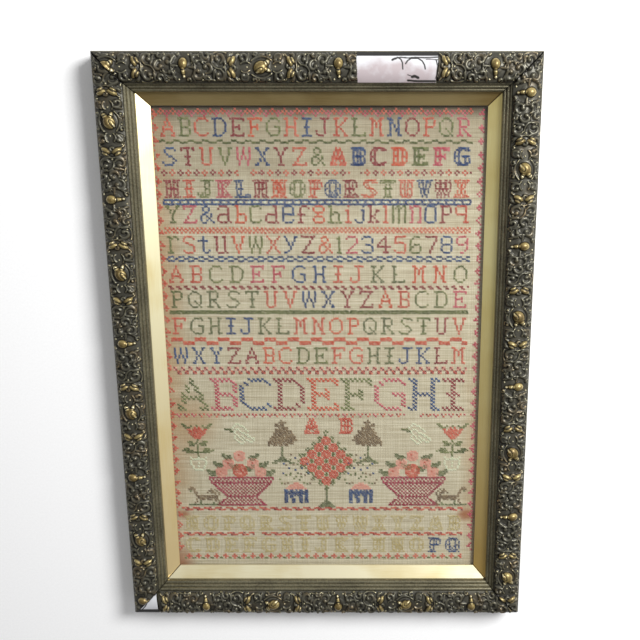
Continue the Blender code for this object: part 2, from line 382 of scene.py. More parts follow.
@dataclass(frozen=True)
class GiltSlip:
    """Water-gilt slip, toned with age: pale gold with faint brush lines along each length.

    Each side is a lighter or darker copy of the gilt: painted light and painted shade for how
    the light falls on that side. Some sides also grow warmer and deeper in colour towards
    their foot.
    """

    side: Side
    # The gilt's two tones on this side, set lighter or darker for how the side is lit: painted light and
    # painted shade.
    pale: str
    deep: str
    amber: float = 0.0
    worn: str = "5b4322"
    toned: str = "d8aa54"
    roughness: float = 0.30
    metallic: float = 0.7
    brush_mm: float = 0.8
    tone_mm: float = 70.0
    stretch: float = 0.04
    mitre_mm: float = 0.55

    def build(self, sizes: FrameSizes) -> bpy.types.Material:
        """Make the material."""
        material, tree, shader, place = new_finish(f"gilt_slip_{self.side.label}")
        scale = (1.0, self.stretch, 1.0) if self.side.upright else (self.stretch, 1.0, 1.0)
        drawn = add_node(tree, "ShaderNodeMapping", None, {"Scale": scale, "Vector": place})
        brush = add_node(tree, "ShaderNodeTexNoise", None,
                         {"Scale": 1 / (self.brush_mm * MM), "Detail": 3.0, "Vector": drawn})
        tone = add_node(tree, "ShaderNodeTexNoise", None,
                        {"Scale": 1 / (self.tone_mm * MM), "Detail": 3.0, "Vector": place})
        both = add_node(tree, "ShaderNodeMath", SCALE_ADD, {0: brush, 1: 0.25, 2: tone})
        ramp = add_node(tree, "ShaderNodeValToRGB", {"stops": ((0.45, self.deep), (0.70, self.pale))},
                        {"Fac": both})
        parts = add_node(tree, "ShaderNodeSeparateXYZ", None, {0: place})
        # Warmer and deeper in colour towards the foot, by the side's share.
        low_end = add_node(tree, "ShaderNodeMapRange", None,
                           {"Value": parts.outputs["Y"], "From Min": sizes.height * 0.1,
                            "From Max": -sizes.height * 0.38, "To Min": 0.0, "To Max": self.amber})
        warm = add_node(tree, "ShaderNodeMix", COLOURS, {SHARE: low_end, BASE: ramp, COAT: srgb(self.toned)})
        mixed = add_node(tree, "ShaderNodeMix", COLOURS,
                         {SHARE: mitre_line(tree, place, sizes, self.mitre_mm), BASE: warm,
                          COAT: srgb(self.worn)})
        bump = add_node(tree, "ShaderNodeBump", None,
                        {"Strength": 0.12, "Distance": 0.1 * MM, "Height": brush})
        feed(tree, shader, {"Base Color": mixed, "Normal": bump, "Roughness": self.roughness,
                            "Metallic": self.metallic})
        return material


@dataclass(frozen=True)
class BareGesso:
    """Chalk gesso laid bare where ornament fell off: smooth, white, a little soiled.

    The attribute "paint" is 1 where dark paint is left on it or where it is chipped, and a
    second attribute makes it darker towards the band's inner edge.
    """

    name: str = "bare_gesso"
    chalk: str = "cdced1"
    dim_chalk: str = "ab9fa1"
    paint: str = "1c1a17"
    roughness: float = 0.55
    soil_mm: float = 16.0

    def build(self) -> bpy.types.Material:
        """Make the material."""
        material, tree, shader, place = new_finish(self.name)
        soil = add_node(tree, "ShaderNodeTexNoise", None,
                        {"Scale": 1 / (self.soil_mm * MM), "Detail": 4.0, "Vector": place})
        # Darker towards the band's inner edge, and in soiled blotches.
        toward_inner_edge = add_node(tree, "ShaderNodeAttribute", {"attribute_name": "soil"}).outputs["Fac"]
        lightness = add_node(tree, "ShaderNodeMath", SCALE_ADD, {0: toward_inner_edge, 1: -0.30, 2: soil})
        ramp = add_node(tree, "ShaderNodeValToRGB", {"stops": ((0.20, self.dim_chalk), (0.50, self.chalk))},
                        {"Fac": lightness})
        paint = add_node(tree, "ShaderNodeAttribute", {"attribute_name": "paint"}).outputs["Fac"]
        mixed = add_node(tree, "ShaderNodeMix", COLOURS, {SHARE: paint, BASE: ramp, COAT: srgb(self.paint)})
        feed(tree, shader, {"Base Color": mixed, "Roughness": self.roughness})
        return material


@dataclass(frozen=True)
class WindowGlass:
    """Thin old window glass: clear, with a faint reflection that grows at low angles.

    Only its outer faces mirror, so the light that gets in reaches the cloth.
    """

    name: str = "window_glass"
    tint: str = "fbfcfb"
    roughness: float = 0.03
    ior: float = 1.5

    def build(self) -> bpy.types.Material:
        """Make the material."""
        material = bpy.data.materials.new(self.name)
        material.use_nodes = True
        tree = material.node_tree
        tree.nodes.remove(tree.nodes["Principled BSDF"])
        clear = add_node(tree, "ShaderNodeBsdfTransparent", None, {"Color": srgb(self.tint)})
        gloss = add_node(tree, "ShaderNodeBsdfGlossy", None, {"Roughness": self.roughness})
        edge = add_node(tree, "ShaderNodeFresnel", None, {"IOR": self.ior})
        inner = add_node(tree, "ShaderNodeNewGeometry").outputs["Backfacing"]
        outer = add_node(tree, "ShaderNodeMath", MINUS, {0: 1.0, 1: inner})
        share = add_node(tree, "ShaderNodeMath", TIMES, {0: edge, 1: outer})
        both = add_node(tree, "ShaderNodeMixShader", None, {0: share, 1: clear, 2: gloss})
        feed(tree, tree.nodes["Material Output"], {"Surface": both})
        return material


@dataclass(frozen=True)
class AgedLinen:
    """Unbleached even-weave linen, browned by age: a visible plain weave with slubs and stains,
    darker towards the top, with a painted shadow along its top edge.

    The threads are drawn about twice as coarse as real ones, so that the weave shows.
    """

    name: str = "aged_linen"
    light: str = "dbd0b8"
    dark: str = "a99b80"
    gap: str = "6f6049"
    stain: str = "a37a4c"
    rust: str = "93552f"
    # The colour of the painted shadow that the slip casts along the top edge.
    slip_shadow: str = "4a3c2c"
    thread_mm: float = 1.7
    slub_mm: float = 4.0
    blotch_mm: float = 38.0
    roughness: float = 0.92

    # Stains, and darkening along the top: the centre as a share of half the sight, across and up,
    # the size across and up in millimetres, the colour and the strength.
    STAINS = (
        (-1.0, 0.15, 26, 330, stain, 0.55),
        (-0.86, -0.33, 34, 40, stain, 0.50),
        (1.0, -0.55, 20, 170, stain, 0.45),
        # Darker towards the top.
        (0.0, 1.0, 900, 110, gap, 0.45),
        # A painted shadow of the slip along the top edge.
        (0.0, 1.0, 900, 14, slip_shadow, 0.95),
        (-1.0, -1.0, 20, 24, rust, 0.75),
        (-0.96, -0.76, 9, 7, rust, 0.8),
        (0.95, -0.76, 12, 8, rust, 0.85),
    )

    def stained_and_shaded(self, tree: bpy.types.NodeTree, place: bpy.types.NodeSocket, sizes: FrameSizes,
                colour: bpy.types.Node) -> bpy.types.Node:
        """Lay soft stains with uneven edges over the cloth's colour, with the darkening towards the
        top and the painted shadow along the top edge.

        Args:
            tree: the material's tree.
            place: object coordinates.
            sizes: the frame's sizes, for half the sight.
            colour: the node that gives the cloth's colour.

        Returns:
            The node that gives the stained colour.
        """
        blotch = add_node(tree, "ShaderNodeTexNoise", None,
                          {"Scale": 1 / (self.blotch_mm * MM), "Detail": 5.0, "Vector": place})
        half_w = sizes.width / 2 - sizes.sight
        half_h = sizes.height / 2 - sizes.sight
        for across, up, wide, high, hue, strength in self.STAINS:
            moved = add_node(tree, "ShaderNodeMapping", {"vector_type": "TEXTURE"},
                             {"Location": (half_w * across, half_h * up, 0), "Vector": place,
                              "Scale": (wide * MM, high * MM, 1)})
            away = add_node(tree, "ShaderNodeVectorMath", {"operation": "LENGTH"}, {0: moved})
            ragged = add_node(tree, "ShaderNodeMath", SCALE_ADD, {0: blotch, 1: 0.9, 2: away})
            mask = add_node(tree, "ShaderNodeMapRange", SOFT,
                            {"Value": ragged, "From Min": 0.55, "From Max": 1.55, "To Min": 1.0,
                             "To Max": 0.0})
            share = add_node(tree, "ShaderNodeMath", TIMES, {0: mask, 1: strength})
            colour = add_node(tree, "ShaderNodeMix", COLOURS,
                              {SHARE: share, BASE: colour, COAT: srgb(hue)})
        return colour

    def build(self, sizes: FrameSizes) -> bpy.types.Material:
        """Make the material: two sets of threads, slubs drawn out along each, then the stains."""
        material, tree, shader, place = new_finish(self.name)
        weft, warp = (add_node(tree, "ShaderNodeTexWave",
                               {"wave_type": "BANDS", "bands_direction": axis, "wave_profile": "SIN"},
                               {"Scale": math.pi / 10 / (self.thread_mm * MM), "Distortion": 2.4,
                                "Detail": 2.0, "Detail Scale": 2.0, "Vector": place}).outputs["Fac"]
                      for axis in "YX")
        threads = add_node(tree, "ShaderNodeMath", TIMES, {0: weft, 1: warp})
        along_x, along_y = (
            add_node(tree, "ShaderNodeTexNoise", None,
                     {"Scale": 1 / (self.slub_mm * MM), "Detail": 4.0, "Roughness": 0.6,
                      "Vector": add_node(tree, "ShaderNodeMapping", None, {"Scale": scale, "Vector": place})})
            for scale in ((0.07, 2.4, 1.0), (2.4, 0.07, 1.0)))
        slub = add_node(tree, "ShaderNodeMath", SCALE_ADD, {0: along_y, 1: 0.4, 2: along_x})
        tone = add_node(tree, "ShaderNodeMapRange", None,
                        {"Value": slub, "From Min": 0.46, "From Max": 0.94})
        cloth = add_node(tree, "ShaderNodeMix", COLOURS,
                         {SHARE: tone, BASE: srgb(self.dark), COAT: srgb(self.light)})
        holes = add_node(tree, "ShaderNodeMapRange", None,
                         {"Value": threads, "From Min": 0.0, "From Max": 0.40, "To Min": 0.30,
                          "To Max": 0.0})
        woven = add_node(tree, "ShaderNodeMix", COLOURS, {SHARE: holes, BASE: cloth, COAT: srgb(self.gap)})
        bump = add_node(tree, "ShaderNodeBump", None,
                        {"Strength": 0.6, "Distance": 0.25 * MM, "Height": threads})
        feed(tree, shader, {"Base Color": self.stained_and_shaded(tree, place, sizes, woven), "Normal": bump,
                            "Roughness": self.roughness, "Sheen Weight": 0.15})
        return material


class Thread(Enum):
    """The threads: the letter that names each in the charts, its colour and its faded colour."""

    CORAL = ("r", "b5402e", "d0705a")
    DARK_RED = ("d", "7c1f26", "9a4146")
    ROSE = ("p", "b03c4c", "c96a74")
    PINK = ("k", "cf8474", "dfa592")
    BLUE = ("b", "1b3160", "3e5884")
    OLIVE = ("g", "575f34", "7f8252")
    SAGE = ("s", "575c3c", "7d7f58")
    MOSS = ("m", "454e22", "6b7040")
    BROWN = ("n", "68513a", "917a5c")
    CRIMSON = ("c", "8a1830", "a43c50")
    STRAW = ("y", "b4a06a", "c4b48a")
    PALE = ("w", "cfd2b4", "dcdcc2")
    ORANGE = ("o", "c04428", "d26c50")

    @property
    def letter(self) -> str:
        """The letter that stands for the thread in a chart."""
        return self.value[0]


@dataclass(frozen=True)
class WoolThread:
    """Fine worsted wool, dull and a little hairy, faded in patches and from stitch to stitch."""

    thread: Thread
    roughness: float = 0.95
    fade_mm: float = 22.0
    hair_mm: float = 0.4

    def build(self) -> bpy.types.Material:
        """Make the material."""
        material, tree, shader, place = new_finish(f"wool_{self.thread.name.lower()}")
        fade = add_node(tree, "ShaderNodeTexNoise", None,
                        {"Scale": 1 / (self.fade_mm * MM), "Detail": 4.0, "Roughness": 0.65,
                         "Vector": place})
        tone = add_node(tree, "ShaderNodeAttribute", {"attribute_name": "tone"}).outputs["Fac"]
        faded = add_node(tree, "ShaderNodeMath", SCALE_ADD, {0: tone, 1: 0.36, 2: fade})
        _, fresh, old = self.thread.value
        ramp = add_node(tree, "ShaderNodeValToRGB", {"stops": ((0.48, fresh), (0.86, old))}, {"Fac": faded})
        hair = add_node(tree, "ShaderNodeTexNoise", None,
                        {"Scale": 1 / (self.hair_mm * MM), "Vector": place})
        bump = add_node(tree, "ShaderNodeBump", None,
                        {"Strength": 0.5, "Distance": 0.1 * MM, "Height": hair})
        feed(tree, shader, {"Base Color": ramp, "Normal": bump, "Roughness": self.roughness,
                            "Sheen Weight": 0.2})
        return material


@dataclass(frozen=True)
class BarePine:
    """Thin unfinished pine board: warm brown with grain drawn out along its length."""

    name: str = "bare_pine"
    early: str = "b08d62"
    late: str = "7d5a38"
    grain_mm: float = 5.0
    roughness: float = 0.8

    def build(self) -> bpy.types.Material:
        """Make the material."""
        material, tree, shader, place = new_finish(self.name)
        drawn = add_node(tree, "ShaderNodeMapping", None, {"Scale": (1.0, 0.06, 1.0), "Vector": place})
        grain = add_node(tree, "ShaderNodeTexNoise", None,
                         {"Scale": 1 / (self.grain_mm * MM), "Detail": 6.0, "Roughness": 0.7,
                          "Vector": drawn})
        ramp = add_node(tree, "ShaderNodeValToRGB", {"stops": ((0.35, self.late), (0.65, self.early))},
                        {"Fac": grain})
        bump = add_node(tree, "ShaderNodeBump", None,
                        {"Strength": 0.3, "Distance": 0.2 * MM, "Height": grain})
        feed(tree, shader, {"Base Color": ramp, "Normal": bump, "Roughness": self.roughness})
        return material


# ---------------------------------------------------------------- Geometry Nodes


class NodeShape:
    """A Geometry Nodes tree that is run once on a set of points and left as a plain mesh."""

    def __init__(self, name: str, inputs: dict[str, str]) -> None:
        """Start a tree with a geometry input and output, a material and the named inputs."""
        self.tree = bpy.data.node_groups.new(name, "GeometryNodeTree")
        self.sockets: dict[str, str] = {}
        for label, kind in {"Geometry": "Geometry", **inputs, "Material": "Material"}.items():
            socket = self.tree.interface.new_socket(label, in_out="INPUT", socket_type=f"NodeSocket{kind}")
            self.sockets[label] = socket.identifier
        self.tree.interface.new_socket("Geometry", in_out="OUTPUT", socket_type="NodeSocketGeometry")
        self.given = add_node(self.tree, "NodeGroupInput").outputs

    def end(self, shape: bpy.types.Node) -> None:
        """Set the shape on every point with its size and turn, and make it real and dressed."""
        size, turn = (add_node(self.tree, "GeometryNodeInputNamedAttribute", VECTORS, {"Name": name})
                      for name in ("size", "turn"))
        placed = add_node(self.tree, "GeometryNodeInstanceOnPoints", None,
                          {"Points": self.given["Geometry"], "Instance": shape, "Scale": size,
                           "Rotation": turn})
        real = add_node(self.tree, "GeometryNodeRealizeInstances", None, {0: placed})
        smooth = add_node(self.tree, "GeometryNodeSetShadeSmooth", None, {0: real})
        dressed = add_node(self.tree, "GeometryNodeSetMaterial", None,
                           {"Geometry": smooth, "Material": self.given["Material"]})
        add_node(self.tree, "NodeGroupOutput", None, {0: dressed})

    def run(self, name: str, points: np.ndarray, values: dict[str, np.ndarray],
            inputs: dict[str, object]) -> bpy.types.Object:
        """Run the tree on points and return the plain mesh that it makes.

        Args:
            name: the piece's name.
            points: places in metres, one row each.
            values: attribute name to its values, a number or a vector for each point.
            inputs: the tree's input name to its value.

        Returns:
            The new object, at the origin.
        """
        holder = mesh_piece(f"{name}_points", points, [], inputs["Material"])
        for key, data in values.items():
            add_values(holder, key, "FLOAT" if data.ndim == 1 else "FLOAT_VECTOR", data)
        modifier = holder.modifiers.new(name, "NODES")
        modifier.node_group = self.tree
        for key, value in inputs.items():
            modifier[self.sockets[key]] = value
        bpy.context.view_layer.update()
        evaluated = holder.evaluated_get(bpy.context.evaluated_depsgraph_get())
        mesh = bpy.data.meshes.new_from_object(evaluated)
        mesh.name = name
        bpy.data.objects.remove(holder, do_unlink=True)
        piece = bpy.data.objects.new(name, mesh)
        bpy.context.scene.collection.objects.link(piece)
        return piece


class CastBeads(NodeShape):
    """Round beads of the mould, which take their size and turn from each point."""

    def __init__(self) -> None:
        """Build the tree."""
        super().__init__("cast_beads", {"Segments": "Int", "Rings": "Int"})
        self.end(add_node(self.tree, "GeometryNodeMeshUVSphere", None,
                          {"Radius": 1.0, "Segments": self.given["Segments"],
                           "Rings": self.given["Rings"]}))


class CrossStitches(NodeShape):
    """Cross stitches: two bowed strands on the diagonals of a square, the second on top."""

    def __init__(self) -> None:
        """Build the tree."""
        super().__init__("cross_stitches", {"Pitch": "Float", "Thread Radius": "Float", "Rise": "Float"})
        under = self.strand(1.0)
        over = self.strand(2.0)
        quarter = add_node(self.tree, "GeometryNodeTransform", None,
                           {"Rotation": (0.0, 0.0, math.pi / 2), "Geometry": over})
        both = add_node(self.tree, "GeometryNodeJoinGeometry")
        for strand in (under, quarter):
            feed(self.tree, both, {0: strand})
        self.end(both)

    def strand(self, level: float) -> bpy.types.Node:
        """One strand along a diagonal, bowed up by level times the rise."""
        half, back, high = (add_node(self.tree, "ShaderNodeMath", TIMES, {0: self.given[name], 1: share})
                            for name, share in (("Pitch", 0.5), ("Pitch", -0.5), ("Rise", level)))
        first, middle, last = (add_node(self.tree, "ShaderNodeCombineXYZ", None, parts)
                               for parts in ({"X": back, "Y": back}, {"Z": high}, {"X": half, "Y": half}))
        path = add_node(self.tree, "GeometryNodeCurveQuadraticBezier", None,
                        {"Resolution": 2, "Start": first, "Middle": middle, "End": last})
        section = add_node(self.tree, "GeometryNodeCurvePrimitiveCircle", None,
                           {"Resolution": 3, "Radius": self.given["Thread Radius"]})
        return add_node(self.tree, "GeometryNodeCurveToMesh", None,
                        {"Fill Caps": True, "Curve": path, "Profile Curve": section})


# ---------------------------------------------------------------- the pressed ornament


@dataclass
class ScrollPattern:
    """One repeat of the pressed foliage, as a height map of scrolls, ribs and leaves.

    Along is measured from the middle of a group of bosses, across from the band's middle,
    positive towards the frame's outer edge. Both are in millimetres, as are all sizes here.
    """

    pitch: float = 136.6
    half_band: float = 13.6
    cell: float = 0.3
    scroll_rise: float = 2.5
    rib_rise: float = 1.9
    leaf_rise: float = 2.3
    swell_under: float = 0.6
    around_rounds: int = 24
    height: np.ndarray = field(init=False)
    crease: np.ndarray = field(init=False)
    gilt: np.ndarray = field(init=False)

    # Scrolls of half a repeat: along, across, radius, first angle, sweep, thickness.
    SCROLLS = (
        (15.0, 8.0, 3.6, 215, -270, 1.30),
        (16.0, -7.8, 3.5, 150, 270, 1.25),
        (36.0, 7.2, 4.6, 250, -280, 1.40),
        (36.6, -6.8, 4.4, 110, 280, 1.35),
        (46.6, 1.0, 4.6, 70, 270, 1.45),
        (47.6, -9.0, 3.3, 330, 270, 1.20),
        (55.0, 5.6, 4.8, 175, -280, 1.40),
        (57.0, -5.6, 3.9, 215, 270, 1.30),
        (46.2, 10.0, 2.2, 10, -250, 1.00),
        (6.4, 10.4, 2.3, 60, 260, 0.95),
        (5.8, -10.6, 2.2, 300, -260, 0.95),
        (24.2, 0.4, 2.7, 20, 260, 1.05),
        (63.4, 10.8, 1.9, 100, 250, 0.90),
        (52.6, -11.2, 1.8, 30, 250, 0.90),
    )
    # Ribs: first along, across, last along, across, bulge, thickness.
    RIBS = (
        (-8.6, 5.0, 8.6, 5.8, 3.6, 1.00),
        (-8.2, -5.8, 8.8, -5.2, -3.6, 1.00),
        (20.4, 10.8, 20.4, -10.8, 5.6, 1.30),
        (24.8, 11.6, 24.8, -11.6, 6.4, 0.80),
        (61.8, -9.8, 61.8, 9.8, 4.4, 1.00),
        (34.4, 1.8, 43.0, -4.6, 2.2, 1.00),
        (30.6, -11.6, 41.6, -11.2, -1.6, 0.95),
        (40.2, 11.4, 51.0, 11.6, -1.2, 0.90),
        (48.0, -3.6, 60.0, -0.6, -2.6, 0.95),
        (10.4, 2.8, 17.2, 3.2, 1.6, 0.95),
        (10.2, -3.2, 17.8, -2.4, -1.6, 0.95),
    )
    # Leaves: root along, across, tip along, across, thickness.
    LEAVES = (
        (11.0, 5.6, 19.2, 11.8, 1.5),
        (12.6, -4.8, 11.0, -11.8, 1.5),
        (30.0, 3.6, 32.0, 11.8, 1.6),
        (30.4, -1.6, 33.4, -10.6, 1.5),
        (39.8, 2.4, 41.6, 10.6, 1.5),
        (42.0, -4.6, 42.6, -11.6, 1.5),
        (50.4, -2.6, 52.6, -9.6, 1.5),
        (60.0, 7.6, 58.0, 11.6, 1.3),
        (57.2, 0.8, 63.6, 0.6, 1.3),
        (60.6, -8.0, 61.6, -11.8, 1.2),
        (-3.0, 9.8, 2.6, 11.4, 1.3),
        (27.0, 11.4, 29.4, 7.6, 1.4),
        (27.0, -11.4, 29.6, -7.0, 1.4),
        (49.6, 9.6, 47.4, 6.6, 1.2),
    )
    # Low swellings under the foliage: along, across, radius, rise.
    SWELLINGS = (
        (15.0, 6.4, 4.6, 0.7), (15.4, -6.8, 4.4, 0.7), (34.6, 6.8, 5.0, 0.8), (35.4, -6.2, 4.8, 0.8),
        (42.6, 0.4, 5.4, 0.9), (46.0, -8.0, 4.4, 0.7), (52.4, 4.2, 5.6, 0.9), (56.0, -5.4, 4.6, 0.8),
        (26.0, 0.0, 3.4, 0.6), (0.0, 0.0, 7.6, 0.9), (68.3, 0.0, 6.4, 0.8), (60.0, 10.0, 3.6, 0.6),
    )
    # Gilt bosses: along, across, half length, half width, rise, turn in degrees, gilding.
    BOSSES = (
        (3.6, 2.6, 4.6, 2.6, 4.2, 44, 0.75),
        (4.8, -2.0, 3.6, 1.9, 3.9, -20, 0.8),
        (-0.8, 0.0, 6.2, 5.2, 5.2, 24, 1.0),
        (-2.2, -3.0, 3.6, 1.5, 4.7, 30, 0.9),
        (68.3, -2.4, 2.1, 5.6, 3.6, 5, 0.85),
        (68.3, 2.6, 4.2, 4.8, 4.8, 0, 1.0),
        (68.9, -8.0, 1.5, 1.6, 2.8, -16, 0.6),
    )
    # Pairs of gilt lobes, set four times about the group's middle: the same figures.
    LOBES = (
        (25.0, 4.8, 2.5, 4.6, 3.9, 26, 0.8),
        (27.6, 5.6, 1.6, 3.2, 3.6, 30, 0.6),
    )
    # Points drawn along a scroll, a rib and a leaf.
    SCROLL_POINTS, RIB_POINTS, LEAF_POINTS = 90, 70, 40
    # A scroll: the share of its radius that it winds in, and how late, its thickness at the tail,
    # how much it swells, and how early, its height at the tail and how much it gains to the eye.
    WIND_IN, WIND_LATE = 0.58, 1.2
    TAIL_THICK, SCROLL_SWELL, SWELL_EARLY = 0.45, 0.75, 0.8
    TAIL_HIGH, TAIL_GAIN = 0.7, 0.4
    # The points and thickness of a scroll's eye.
    EYE_POINTS, EYE_THICK = 5, 1.45
    # A rib's thickness at its ends, and how much it swells between them.
    RIB_THICK, RIB_SWELL = 0.55, 0.45
    # A leaf: where on the wave its root starts, how much of the wave it takes, its least
    # thickness, and how much of its height it loses by its tip.
    LEAF_START, LEAF_RUN, LEAF_LEAST, LEAF_FALL = 0.12, 0.86, 0.2, 0.35
    # How far a boss's groove reaches, squared and as a share of the boss, how much of what it
    # crosses it leaves standing, and how much gilding.
    GROOVE, GROOVE_REACH = 1.35, 1.2
    GROOVE_LEAVES = 0.65
    GROOVE_GILDING = 0.5
    # How far short of the count of rows a place is held, so that there is a row past it.
    SHORT_OF_END = 1.001
    # How much of each cell stays when the map is softened, and how much each pair beside it adds.
    KEEP, BLEND = 0.6, 0.2
    # Beads: along, across, radius.
    BEADS = (
        (12.4, 0.2, 1.0), (19.8, 9.8, 1.1), (19.8, -10.4, 1.0), (32.6, 0.4, 1.1), (40.6, -8.6, 1.2),
        (51.6, 10.4, 1.2), (44.6, -10.4, 1.0), (58.4, 10.2, 1.0), (55.0, -10.2, 1.1), (60.4, -3.4, 1.0),
        (64.0, -10.2, 1.1), (2.2, 10.4, 1.0), (38.6, 10.4, 1.1),
    )

    def __post_init__(self) -> None:
        """Press the whole repeat: the half above, then its point-mirrored other half."""
        columns = round(self.pitch / self.cell)
        rows = round(2 * self.half_band / self.cell) + 1
        self.height = np.zeros((columns, rows))
        for way in (1, -1):
            for along, across, radius, first, sweep, thick in self.SCROLLS:
                turned = first if way > 0 else first + HALF_TURN
                self.scroll(along * way, across * way, radius, turned, sweep, thick)
            for first_s, first_v, last_s, last_v, bulge, thick in self.RIBS:
                self.rib(first_s * way, first_v * way, last_s * way, last_v * way, bulge, thick)
            for root_s, root_v, tip_s, tip_v, thick in self.LEAVES:
                self.leaf(root_s * way, root_v * way, tip_s * way, tip_v * way, thick)
        ridges = self.height
        self.height = np.zeros_like(ridges)
        for way in (1, -1):
            for along, across, radius, rise in self.SWELLINGS:
                self.stamp(*np.array([[along * way], [across * way], [radius], [rise]]))
        self.height = ridges + self.height * (1 - self.swell_under * ridges / self.scroll_rise)
        self.gilt = np.zeros_like(ridges)
        for boss in self.BOSSES:
            self.boss(*boss)
        for way in (1, -1):
            for up in (1, -1):
                for along, across, long, wide, rise, turn, gilding in self.LOBES:
                    self.boss(along * way, across * up, long, wide, rise, turn * way * up, gilding)
        self.height = self.soften(self.height)
        self.gilt = self.soften(self.gilt)
        around = self.height
        for _ in range(self.around_rounds):
            around = self.soften(around)
        # How far each point stands above its softened surroundings; the finish paints shade into the hollows
        # and highlight onto the ridges from it.
        self.crease = self.height - around

    def beads(self) -> list[tuple[float, float, float]]:
        """Beads of the whole repeat: along, across and radius."""
        return [(s * way, v * way, r) for way in (1, -1) for s, v, r in self.BEADS]

    def stamp(self, along: np.ndarray, across: np.ndarray, thick: np.ndarray, rise: np.ndarray) -> None:
        """Raise the map to a round ridge along a line of points.

        Args:
            along: each point's place along the band.
            across: each point's place across it.
            thick: half the ridge's width there.
            rise: the ridge's height there.
        """
        columns, rows = self.height.shape
        for s, v, r, h in zip(along, across, thick, rise):
            reach = int(r / self.cell) + 1
            column = round(s / self.cell)
            row = round((v + self.half_band) / self.cell)
            low, high = max(row - reach, 0), min(row + reach + 1, rows)
            if low >= high:
                continue
            near_s = np.arange(column - reach, column + reach + 1)
            near_v = np.arange(low, high)
            off_s = near_s[:, None] * self.cell - s
            off_v = near_v[None, :] * self.cell - self.half_band - v
            share = 1 - (off_s ** 2 + off_v ** 2) / r ** 2
            ridge = h * np.sqrt(np.clip(share, 0, 1))
            spot = np.ix_(near_s % columns, near_v)
            self.height[spot] = np.maximum(self.height[spot], ridge)

    def scroll(self, along: float, across: float, radius: float, first: float, sweep: float,
               thick: float) -> None:
        """A scroll that winds inwards from its tail to a round eye."""
        share = np.linspace(0, 1, self.SCROLL_POINTS)
        angle = np.radians(first + sweep * share)
        out = radius * (1 - self.WIND_IN * share ** self.WIND_LATE)
        swell = np.sin(math.pi * share ** self.SWELL_EARLY)
        width = thick * (self.TAIL_THICK + self.SCROLL_SWELL * swell)
        width[-self.EYE_POINTS:] = thick * self.EYE_THICK
        self.stamp(along + out * np.cos(angle), across + out * np.sin(angle), width,
                   self.scroll_rise * (self.TAIL_HIGH + self.TAIL_GAIN * share))

    def rib(self, first_s: float, first_v: float, last_s: float, last_v: float, bulge: float,
            thick: float) -> None:
        """A bowed rib, thin at both ends."""
        share = np.linspace(0, 1, self.RIB_POINTS)
        bow = 4 * share * (1 - share) * bulge
        run_s, run_v = last_s - first_s, last_v - first_v
        run = math.hypot(run_s, run_v)
        along = first_s + run_s * share - run_v / run * bow
        across = first_v + run_v * share + run_s / run * bow
        width = thick * (self.RIB_THICK + self.RIB_SWELL * np.sin(math.pi * share))
        self.stamp(along, across, width, np.full(share.shape, self.rib_rise))

    def leaf(self, root_s: float, root_v: float, tip_s: float, tip_v: float, thick: float) -> None:
        """A leaf that swells near its root and comes to a point."""
        share = np.linspace(0, 1, self.LEAF_POINTS)
        wave = self.LEAF_START + self.LEAF_RUN * share ** self.SWELL_EARLY
        width = thick * np.sin(math.pi * wave) + self.LEAF_LEAST
        self.stamp(root_s + (tip_s - root_s) * share, root_v + (tip_v - root_v) * share, width,
                   self.leaf_rise * (1 - self.LEAF_FALL * share))

    def boss(self, along: float, across: float, long: float, wide: float, rise: float, turn: float,
             gilding: float) -> None:
        """A gilt mound, with a narrow groove where it meets what lies round it.

        Args:
            along: its middle along the band.
            across: its middle across the band.
            long: half its length.
            wide: half its width.
            rise: its height.
            turn: its turn in degrees.
            gilding: how much gilding it carries, 0 to 1.
        """
        columns, rows = self.height.shape
        reach = int(self.GROOVE_REACH * max(long, wide) / self.cell) + 1
        row = round((across + self.half_band) / self.cell)
        near_s = np.arange(-reach, reach + 1) + round(along / self.cell)
        near_v = np.arange(max(row - reach, 0), min(row + reach + 1, rows))
        off_s = near_s[:, None] * self.cell - along
        off_v = near_v[None, :] * self.cell - self.half_band - across
        cosine, sine = math.cos(math.radians(turn)), math.sin(math.radians(turn))
        share = (((off_s * cosine + off_v * sine) / long) ** 2
                 + ((off_v * cosine - off_s * sine) / wide) ** 2)
        spot = np.ix_(near_s % columns, near_v)
        beside = (share > 1) & (share < self.GROOVE)
        groove = np.where(beside, self.height[spot] * self.GROOVE_LEAVES, self.height[spot])
        self.height[spot] = np.maximum(groove, rise * np.sqrt(np.clip(1 - share, 0, 1)))
        fading = np.where(share < self.GROOVE, self.GROOVE_GILDING, 1)
        self.gilt[spot] = np.where(share < 1, gilding, self.gilt[spot] * fading)

    def soften(self, height: np.ndarray) -> np.ndarray:
        """Blend each cell with its neighbours, as a worn mould would."""
        turned = (np.roll(height, 1, 0) + np.roll(height, -1, 0)) / 2
        padded = np.pad(height, ((0, 0), (1, 1)), mode="edge")
        beside = (padded[:, :-2] + padded[:, 2:]) / 2
        return self.KEEP * height + self.BLEND * turned + self.BLEND * beside

    def sample(self, get: np.ndarray, along: np.ndarray, across: np.ndarray) -> np.ndarray:
        """Values of one of the maps at places along and across, with the pattern repeated."""
        columns, rows = get.shape
        s = along / self.cell
        v = np.clip((across + self.half_band) / self.cell, 0, rows - self.SHORT_OF_END)
        s_low, v_low = np.floor(s).astype(int), np.floor(v).astype(int)
        s_part, v_part = s - s_low, v - v_low
        first = get[s_low % columns, v_low] * (1 - v_part) + get[s_low % columns, v_low + 1] * v_part
        next_s = (s_low + 1) % columns
        second = get[next_s, v_low] * (1 - v_part) + get[next_s, v_low + 1] * v_part
        return first * (1 - s_part) + second * s_part


